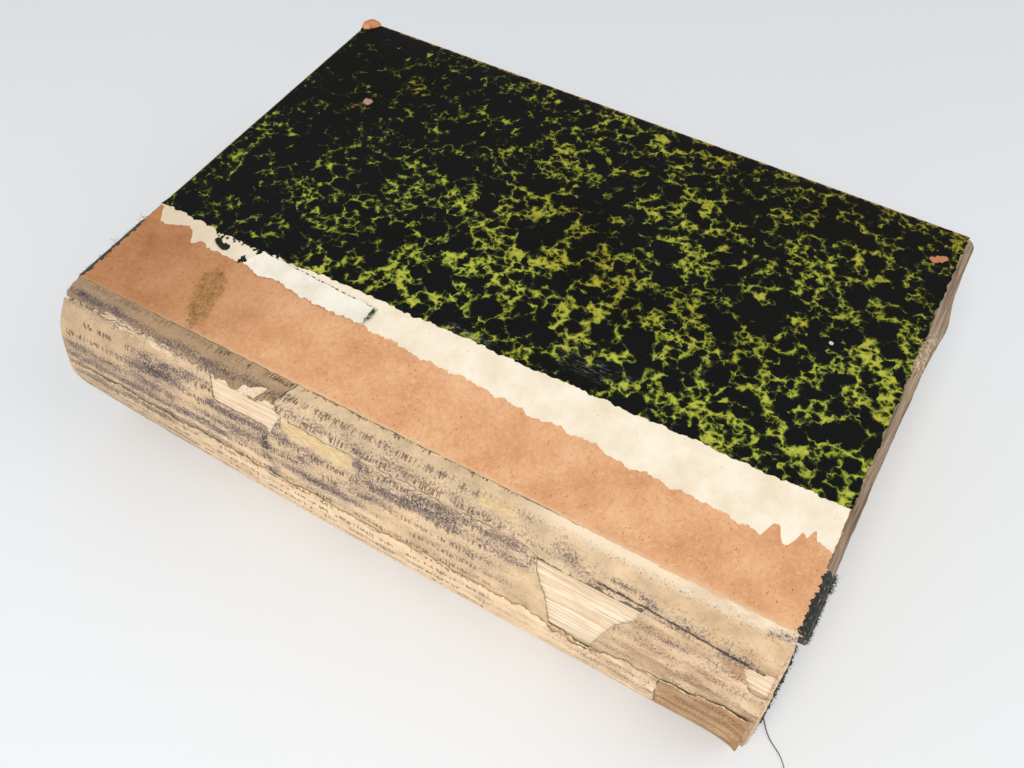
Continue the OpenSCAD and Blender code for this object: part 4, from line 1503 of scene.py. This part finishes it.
def build_tail_rim():
    """A thin rolled rim of paper along the linings' tail end."""
    s0, s1, width = arc_at(6), arc_at(108), 0.8 * MM

    def place(s, t, side):
        wander = 0.20 * MM * noise.noise(Vector((s * 130, 5.0, 2.0)))
        lift = (0.35 + 0.30 * math.sin(math.pi * t / width) + 0.12 * side) * MM
        x, z = back_point(angle_at(s), lift, LINING_TAIL)
        z = min(z, BOOK_TOP - (0.2 - 0.1 * side) * MM)
        return (float(x), LINING_TAIL - 0.35 * MM + t + wander, float(z))

    outline = [(s, 0.08 * MM * rough(s, 97, 2 * MM)) for s in line(s0, s1, 0.5 * MM)]
    outline += [(s, width + 0.10 * MM * rough(s, 98, 2 * MM)) for s in line(s1, s0, 0.5 * MM)]
    piece = paper("lining_tail_rim", outline, 0.3 * MM, place, (FIBRE,))
    attach(piece, "block", "lining_paper")


def build_white_scrap():
    """A bright torn scrap of white paper over the upper lining, beside the bare folds."""
    corners = [
        (42.3, 7.4), (41.6, 5.6), (39.4, 5.3), (37.6, 4.6), (35.4, 3.9), (35.4, 4.9),
        (36.6, 6.2), (37.4, 7.4), (39.6, 7.3), (41.0, 8.0),
    ]
    outline = torn_shape(corners, 0.14, 0.22, seed=95, grain=0.5)

    def place(y, s, side):
        lift = (0.55 + 0.10 * side + 0.25 * math.exp(-(((y - 36 * MM) / (2 * MM)) ** 2))) * MM
        return lining_point(y, s, lift, side)

    skins = (SCRAP, FIBRE)
    piece = paper("white_scrap_on_back", outline, 0.5 * MM, place, skins, rim_slot=1)
    attach(piece, "block", "lining_paper")


def build_linings():
    """The five linings in two layers, a rolled rim and a scrap."""
    first, second, half_seam = 0.16 * MM, 0.64 * MM, 0.15 * MM
    low_end = -77 * MM

    def main_bottom(y):
        return arc_at(150) + 0.4 * MM * wave(y, 9)

    build_tail_rim()
    build_white_scrap()
    build_lining(
        "lining_head_piece", "lining_upper_head", LINING_A, SEAM_Y + half_seam, LINING_HEAD,
        joint_line, upper_head_edge, first, ends=(0.12 * MM, 0.1 * MM), upper=True,
    )
    build_lining(
        "lining_middle_piece", "lining_upper_tail", LINING_B, LINING_TAIL, SEAM_Y - half_seam,
        joint_line, upper_tail_edge, first, ends=(0.1 * MM, 0.05 * MM), ledge=flap_ledge,
        upper=True,
    )
    build_lining(
        "lining_back_piece", "lining_main", LINING_C, LINING_TAIL, LINING_HEAD,
        main_top, main_bottom, first, edge_curl=0.12 * MM,
    )
    build_lining(
        "lining_low_piece", "lining_lower", LINING_D, low_end + 0.5 * MM, LINING_HEAD - 0.2 * MM,
        lower_top_edge, rear_line, second, ends=(0.1 * MM, 0.0), edge_curl=0.08 * MM,
    )
    build_lining(
        "lining_tail_piece", "lining_tail", LINING_E, LINING_TAIL + 1.2 * MM, low_end,
        tail_top_edge, rear_line, second, ends=(1.3 * MM, 0.1 * MM), edge_curl=0.25 * MM,
    )


# Frayed cloth: ragged strips and loose threads
def tube_ring(vertices, at, side_a, side_b, radius, sides):
    """Adds a ring of points round a place and returns their numbers."""
    first = len(vertices)
    for k in range(sides):
        a = 2 * math.pi * k / sides
        vertices.append(at + (side_a * math.cos(a) + side_b * math.sin(a)) * radius)
    return list(range(first, first + sides))


def fibre_piece(name, roots, directions, lengths, radius, material, seed):
    """Thin tapered threads that wander away from their roots."""
    rng = random.Random(seed)
    vertices, faces = [], []
    steps, sides = 6, 3
    for root, direction, length in zip(roots, directions, lengths):
        at = Vector(root)
        heading = Vector(direction).normalized()
        twist = Vector((rng.uniform(-1, 1), rng.uniform(-1, 1), rng.uniform(-1, 1)))
        rings = []
        for i in range(steps + 1):
            side_a = heading.cross(Vector((0.31, 0.52, 0.79))).normalized()
            side_b = heading.cross(side_a).normalized()
            thin = radius * (1 - 0.75 * i / steps)
            rings.append(tube_ring(vertices, at, side_a, side_b, thin, sides))
            heading = (heading + twist * 0.35).normalized()
            twist = (twist + Vector([rng.uniform(-0.7, 0.7) for _ in range(3)])).normalized()
            at = at + heading * (length / steps)
        faces += walls(rings) + [rings[0][::-1], rings[-1]]
    return finish_mesh(name, vertices, faces, None, 60, (material,))


def build_edge_cloth(name, node, side, length, over, radius, seed):
    """Cloth turned over the front board's head or tail edge, from the joint to its length.

    side is 1 at the head and -1 at the tail. Its torn rim lies on the board's top, over
    millimetres in from the edge.
    """
    inner = BOOK_TOP - BOARD_T - 2 * SKIN
    outer = BOOK_TOP - SKIN
    y_edge = side * HEAD_Y
    straight = SKIN + BOARD_T - radius
    quarter = radius * math.pi / 2

    def rim(x):
        torn = 0.35 * rough(x, seed, 1.3 * MM) + 0.20 * rough(x, seed + 5, 0.5 * MM)
        return straight + quarter + over - radius + torn * MM

    def place(u, t, face):
        lift = 0.04 * MM + SKIN * 0.55 * face
        turn, reach = (t - straight) / radius, radius + lift
        if t < 0:
            out, z = t + SKIN * 0.5, inner + SKIN * (0.9 - 0.8 * face)
        elif t < straight:
            out, z = lift, inner + t
        elif turn < math.pi / 2:
            out, z = reach * math.cos(turn) - radius, outer - radius + reach * math.sin(turn)
        else:
            out, z = straight + quarter - radius - t, outer + lift
        return (JOINT_X + u, y_edge + side * out, z)

    def ragged_end(t):
        return (length + 0.6 * MM * rough(t, seed + 1, 1.2 * MM), t)

    start = 0.1 * MM
    outline = [(x, rim(x)) for x in line(start, length, 0.3 * MM)]
    outline += [ragged_end(t) for t in line(rim(length), -TURN_IN, 0.6 * MM)]
    outline += [(x, -TURN_IN) for x in line(length, start, 1.5 * MM)]
    outline += [(start, t) for t in line(-TURN_IN, rim(start), 0.7 * MM)]
    piece = paper(name, outline, 0.8 * MM, place, (CLOTH,))
    attach(piece, "front_cover", "spine_cloth", node)
    build_corner_cloth(name + "_corner", side, outer)

    # Loose threads all along it, and a few long ones in one place
    rng = random.Random(seed)
    roots, ways, sizes = [], [], []
    for _ in range(420):
        u = rng.uniform(-0.1 * MM, length + 0.6 * MM)
        near_tuft = side < 0 and abs(u - 15 * MM) < 1.6 * MM
        height = inner + rng.uniform(0.2, 0.98) * (BOARD_T + SKIN)
        roots.append((JOINT_X + u, y_edge + side * rng.uniform(0.1, 0.25) * MM, height))
        ways.append((rng.uniform(-0.9, 0.9), side * rng.uniform(0.25, 0.9), rng.uniform(-0.5, 0.5)))
        sizes.append(rng.uniform(0.4, 1.0) * (1.8 if near_tuft else 1.0) * MM)
    head_spikes = [(26.6, 3.3), (25.6, 2.4), (26.1, 2.8), (24.6, 1.8)]
    for u, size in head_spikes if side > 0 else [(15.0, 2.2), (15.6, 1.9)]:
        roots.append((JOINT_X + u * MM, y_edge + side * 0.1 * MM, outer - 0.6 * MM))
        ways.append((rng.uniform(-0.15, 0.15), side, rng.uniform(-0.05, 0.1)))
        sizes.append(size * MM)
    threads = fibre_piece(name + "_threads", roots, ways, sizes, 0.07 * MM, DARK_THREAD, seed)
    attach(threads, "front_cover", "spine_cloth")
    if side > 0:
        # A few pale threads of the cloth lie over the papers' head edge
        roots, ways, sizes = [], [], []
        for _ in range(9):
            x = JOINT_X + rng.uniform(13, 21) * MM
            roots.append((x, y_edge + 0.2 * MM, BOOK_TOP + 0.02 * MM))
            ways.append((rng.uniform(-1, 1), rng.uniform(-0.4, 0.6), rng.uniform(0.0, 0.15)))
            sizes.append(rng.uniform(1.2, 2.4) * MM)
        name += "_pale_threads"
        pale = fibre_piece(name, roots, ways, sizes, 0.06 * MM, PALE_THREAD, seed)
        attach(pale, "front_cover", "spine_cloth")


def build_corner_cloth(name, side, outer):
    """A scrap of the cloth folded round the board's corner at the joint."""
    def place(y, t, face):
        return (JOINT_X - (0.04 + 0.10 * face) * MM, side * (HEAD_Y - y), outer - t)

    edge, width, top, bottom = 0.1 * MM, 3.2 * MM, 0.05 * MM, BOARD_T - 0.1 * MM
    torn_side = line(top, bottom, 0.3 * MM)
    outline = [(y, top) for y in line(edge, width, 0.4 * MM)]
    outline += [(width + 0.3 * MM * rough(t, 111, 0.8 * MM), t) for t in torn_side]
    outline += [(y, bottom) for y in line(width, edge, 0.4 * MM)]
    piece = paper(name, outline, 0.5 * MM, place, (CLOTH,))
    attach(piece, "front_cover", "spine_cloth")


def build_spine_cloth(name, node, side, angles, proud, thin_from, count, seed):
    """The torn turn-in of the lost spine cloth at one end of the block, between two angles.

    It stands proud of the block, narrows past thin_from degrees and has a count of threads.
    """
    end, tucked_in = BLOCK_HEAD - 0.3 * MM, -2 * MM
    s0, s1 = (arc_at(angle) for angle in angles)

    def reach(s):
        return proud * (1 - 0.62 * clamp((angle_at(s) - thin_from) / 60))

    def rim(s):
        taper = plateau(s, (s0 + s1) / 2, (s1 - s0) / 2 + 0.1 * MM, 2 * MM)
        torn = 0.30 * rough(s, seed, 1.1 * MM) + 0.15 * rough(s, 7, 0.4 * MM)
        return reach(s) * (0.5 + 0.5 * taper) + torn * MM

    outline = [(s, rim(s)) for s in line(s0, s1, 0.3 * MM)]
    outline += [(s1, t) for t in line(rim(s1), tucked_in, 0.6 * MM)]
    outline += [(s, tucked_in) for s in line(s1, s0, 1.2 * MM)]
    outline += [(s0, t) for t in line(tucked_in, rim(s0), 0.6 * MM)]

    def place(s, t, face):
        wander = 0.15 * MM * noise.noise(Vector((s * 300, t * 300, seed)))
        lift = (0.22 * face - 0.75) * MM + wander - 0.12 * max(t, 0)
        x, z = back_point(angle_at(s), lift, side * end)
        return (float(x), side * (end + t), float(z))

    piece = paper(name, outline, 0.9 * MM, place, (CLOTH,))
    attach(piece, "block", "spine_cloth", node)
    rng = random.Random(seed)
    roots, ways, sizes = [], [], []
    for _ in range(count):
        s = rng.uniform(s0, s1)
        x, z = back_point(angle_at(s), -0.9 * MM, side * end)
        roots.append((float(x), side * (end + rng.uniform(0.3, 0.9) * reach(s)), float(z)))
        ways.append((rng.uniform(-0.7, 0.4), side * rng.uniform(0.4, 1.0), rng.uniform(-0.6, 0.5)))
        sizes.append(rng.uniform(0.4, 1.2) * MM)
    if side > 0:
        # A black tuft at the head corner
        for _ in range(26):
            x, z = back_point(rng.uniform(8, 16), -0.6 * MM, end)
            roots.append((float(x), end + 1.2 * MM, float(z)))
            ways.append((rng.uniform(-0.7, 0.1), rng.uniform(0.5, 1.0), rng.uniform(-0.2, 0.2)))
            sizes.append(rng.uniform(1.2, 2.4) * MM)
    threads = fibre_piece(name + "_threads", roots, ways, sizes, 0.07 * MM, DARK_THREAD, seed)
    if side < 0:
        merge(threads, long_thread())
    attach(threads, "block", "spine_cloth")


def long_thread():
    """The tail cloth's longest thread, which has come out and lies on the table."""
    places = [
        (2.2, -100.6, 0.9), (1.4, -101.6, 0.22), (-1.9, -103.7, 0.2), (-3.8, -106.5, 0.2),
        (-5.1, -108.5, 0.2), (-7.2, -110.1, 0.2), (-8.5, -111.1, 0.2), (-11.0, -114.5, 0.2),
    ]
    corners = [Vector(place) * MM + Vector((JOINT_X, 0, 0)) for place in places]
    path = [a + (b - a) * t for a, b in zip(corners, corners[1:]) for t in line(0, 1, 0.25)]
    path.append(corners[-1])
    # Each point moves to the middle of its neighbours, two on either side
    last, count = len(path) - 1, len(path)
    smooth = [
        sum((path[min(max(i + k, 0), last)] for k in (-2, -1, 0, 1, 2)), Vector()) / 5
        for i in range(count)
    ]
    vertices, rings = [], []
    for i, at in enumerate(smooth):
        ahead = smooth[min(i + 1, last)] - smooth[max(i - 1, 0)]
        across = ahead.cross(Vector((0, 0, 1))).normalized()
        up = across.cross(ahead).normalized()
        thin = 0.15 * MM * (1 - 0.5 * i / count)
        rings.append(tube_ring(vertices, at, across, up, thin, 6))
    faces = walls(rings) + [rings[0][::-1], rings[-1]]
    return finish_mesh("long_thread", vertices, faces, None, 60, (DARK_THREAD,))


# Inner hinges: each endpaper folds up the joint and turns over onto its cover
def build_hinge(name, sign):
    """An endpaper strip that climbs the shoulder and comes back down the board's spine edge."""
    outer = BOOK_TOP if sign > 0 else 0.0
    leaf_z = BODY_HIGH if sign > 0 else BODY_LOW
    board_in = outer - sign * (BOARD_T + SKIN)
    peak = outer - sign * 0.35 * MM
    base_x = JOINT_X - JOINT_GAP
    up_x, top_x, down_x = (base_x + share * JOINT_GAP for share in (0.25, 0.5, 0.75))
    foot_z = leaf_z + sign * 0.32 * MM
    # The path across the joint: x, z, and which way the strip's thickness lies there
    path = [(base_x + 2.0 * MM, foot_z, 0, sign), (up_x, foot_z, 1, 0)]
    path += [(up_x, leaf_z + (peak - leaf_z) * t, 1, 0) for t in (0.3, 0.6, 0.9)]
    path += [(top_x, peak, 0, -sign)]
    path += [(down_x, board_in + (peak - board_in) * t, -1, 0) for t in (0.9, 0.6, 0.3, 0.0)]
    thick, rows, count = 0.07 * MM, 60, len(path)
    vertices, faces = [], []
    for push in (-thick / 2, thick / 2):
        for j in range(rows + 1):
            y = BLOCK_HEAD * (2 * j / rows - 1)
            vertices += [(x - push * px, y, z + push * pz) for x, z, px, pz in path]
    layer = (rows + 1) * count
    for j in range(rows):
        for i in range(count - 1):
            a = j * count + i
            quad = (a, a + 1, a + count + 1, a + count)
            faces += [quad, tuple(corner + layer for corner in reversed(quad))]
    rims = [(j * count + i, (j + 1) * count + i) for j in range(rows) for i in (0, count - 1)]
    rims += [(j * count + i, j * count + i + 1) for i in range(count - 1) for j in (0, rows)]
    faces += [(a, b, b + layer, a + layer) for a, b in rims]
    piece = finish_mesh(name, vertices, faces, None, 60, (ENDPAPER,))
    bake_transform(piece)


def dress_nodes():
    """Finishes for the solids whose shape is already right."""
    finishes = {"rear_quarter_cloth": CLOTH}
    for node in ("front_flyleaf", "rear_flyleaf", "front_pastedown", "rear_pastedown"):
        finishes[node] = ENDPAPER
    for node, material in finishes.items():
        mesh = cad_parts[node].data
        mesh.materials.clear()
        mesh.materials.append(material)


# Stage: floor, light and camera
def build_floor():
    """A plain pale floor a hair below the book, so that an open rear cover's outer face shows."""
    size, z = 3.0, -0.1 * MM
    corners = [(x * size, y * size, z) for x, y in ((-1, -1), (1, -1), (1, 1), (-1, 1))]
    mesh = bpy.data.meshes.new("floor")
    mesh.from_pydata(corners, [], [(0, 1, 2, 3)])
    floor = bpy.data.objects.new("floor", mesh)
    bpy.context.scene.collection.objects.link(floor)
    n = Nodes("floor")
    n.link((226, 228, 230), n.shader.inputs["Base Color"])
    n.link(0.7, n.shader.inputs["Roughness"])
    mesh.materials.append(n.material)


def area_light(name, location, size, power, colour=(1, 1, 1)):
    """A square light that points at the book."""
    light = bpy.data.lights.new(name, "AREA")
    light.energy = power
    light.size = size
    light.color = colour
    lamp = bpy.data.objects.new(name, light)
    lamp.location = location
    lamp.rotation_mode = "QUATERNION"
    lamp.rotation_quaternion = (-Vector(location)).to_track_quat("-Z", "Y")
    bpy.context.scene.collection.objects.link(lamp)


def build_light():
    """Soft cool light all round, a warmer key, and two fills."""
    world = bpy.data.worlds.new("studio")
    world.use_nodes = True
    background = world.node_tree.nodes["Background"].inputs
    background["Color"].default_value = (0.93, 0.96, 1.0, 1)
    background["Strength"].default_value = 0.55
    bpy.context.scene.world = world
    area_light("key", (-0.70, -0.15, 0.95), 0.5, 8.6, (1.0, 0.98, 0.95))
    area_light("fill", (0.3, -0.9, 0.8), 0.9, 2.6)
    area_light("low", (-0.85, -0.25, 0.14), 0.5, 1.3)


def build_camera():
    """The photo's view: angles in degrees, a distance and an aim in millimetres."""
    azimuth, elevation, roll = (math.radians(v) for v in (-60.72, 52.63, 0.82))
    distance, aim_u, aim_y = 251.47, 26.39, -15.67
    focal, image_width = 1032.9, 1024
    flat_reach = math.cos(elevation)
    back = Vector((
        math.sin(azimuth) * flat_reach, -math.cos(azimuth) * flat_reach, math.sin(elevation),
    ))
    target = Vector((JOINT_X + aim_u * MM, aim_y * MM, BOOK_TOP))
    data = bpy.data.cameras.new("camera")
    data.sensor_width = 36.0
    data.lens = focal / image_width * data.sensor_width
    data.clip_start, data.clip_end = 0.01, 20
    camera = bpy.data.objects.new("camera", data)
    camera.location = target + back * distance * MM
    camera.rotation_mode = "QUATERNION"
    right = Vector((0, 0, 1)).cross(back).normalized()
    up = back.cross(right)
    turned_right = right * math.cos(roll) + up * math.sin(roll)
    turned_up = up * math.cos(roll) - right * math.sin(roll)
    basis = Matrix((turned_right, turned_up, back)).transposed()
    camera.rotation_quaternion = basis.to_quaternion()
    bpy.context.scene.collection.objects.link(camera)
    bpy.context.scene.camera = camera


build_camera()
build_floor()
build_light()
bpy.context.scene.view_settings.view_transform = "Standard"

dress_nodes()
build_text_block()
build_board("front_pasteboard", "front_board", "front_cover", board_low.z, bare=True)
build_board(
    "rear_pasteboard", "rear_board", "rear_cover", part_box("rear_board")[0].z, bare=False,
)
build_side_paper(
    "marbled_front", "front_side_paper", "front_cover", BOOK_TOP, 1, MARBLED,
    drape_outline(fine_paper_edge, tail_cut=TAIL_Y + TAIL_WEAR, tip=6 * MM),
)
build_side_paper(
    "marbled_rear", "rear_side_paper", "rear_cover", 0.0, -1, MARBLED_REAR,
    drape_outline(lambda y: PAPER_X),
)
build_front_papers()
build_linings()
build_corner_tip()
build_edge_cloth(
    "cloth_at_head", "front_cloth_head", 1,
    length=25 * MM, over=0.9 * MM, radius=0.35 * MM, seed=101,
)
build_edge_cloth(
    "cloth_at_tail", "front_cloth_tail", -1,
    length=17 * MM, over=2.1 * MM, radius=0.9 * MM, seed=103,
)
build_spine_cloth(
    "spine_cloth_scrap_head", "spine_cloth_head", 1, (6, 34),
    proud=1.6 * MM, thin_from=90, count=60, seed=105,
)
build_spine_cloth(
    "spine_cloth_scrap_tail", "spine_cloth_tail", -1, (3, 130),
    proud=1.5 * MM, thin_from=50, count=900, seed=107,
)
build_hinge("front_inner_hinge", 1)
build_hinge("rear_inner_hinge", -1)
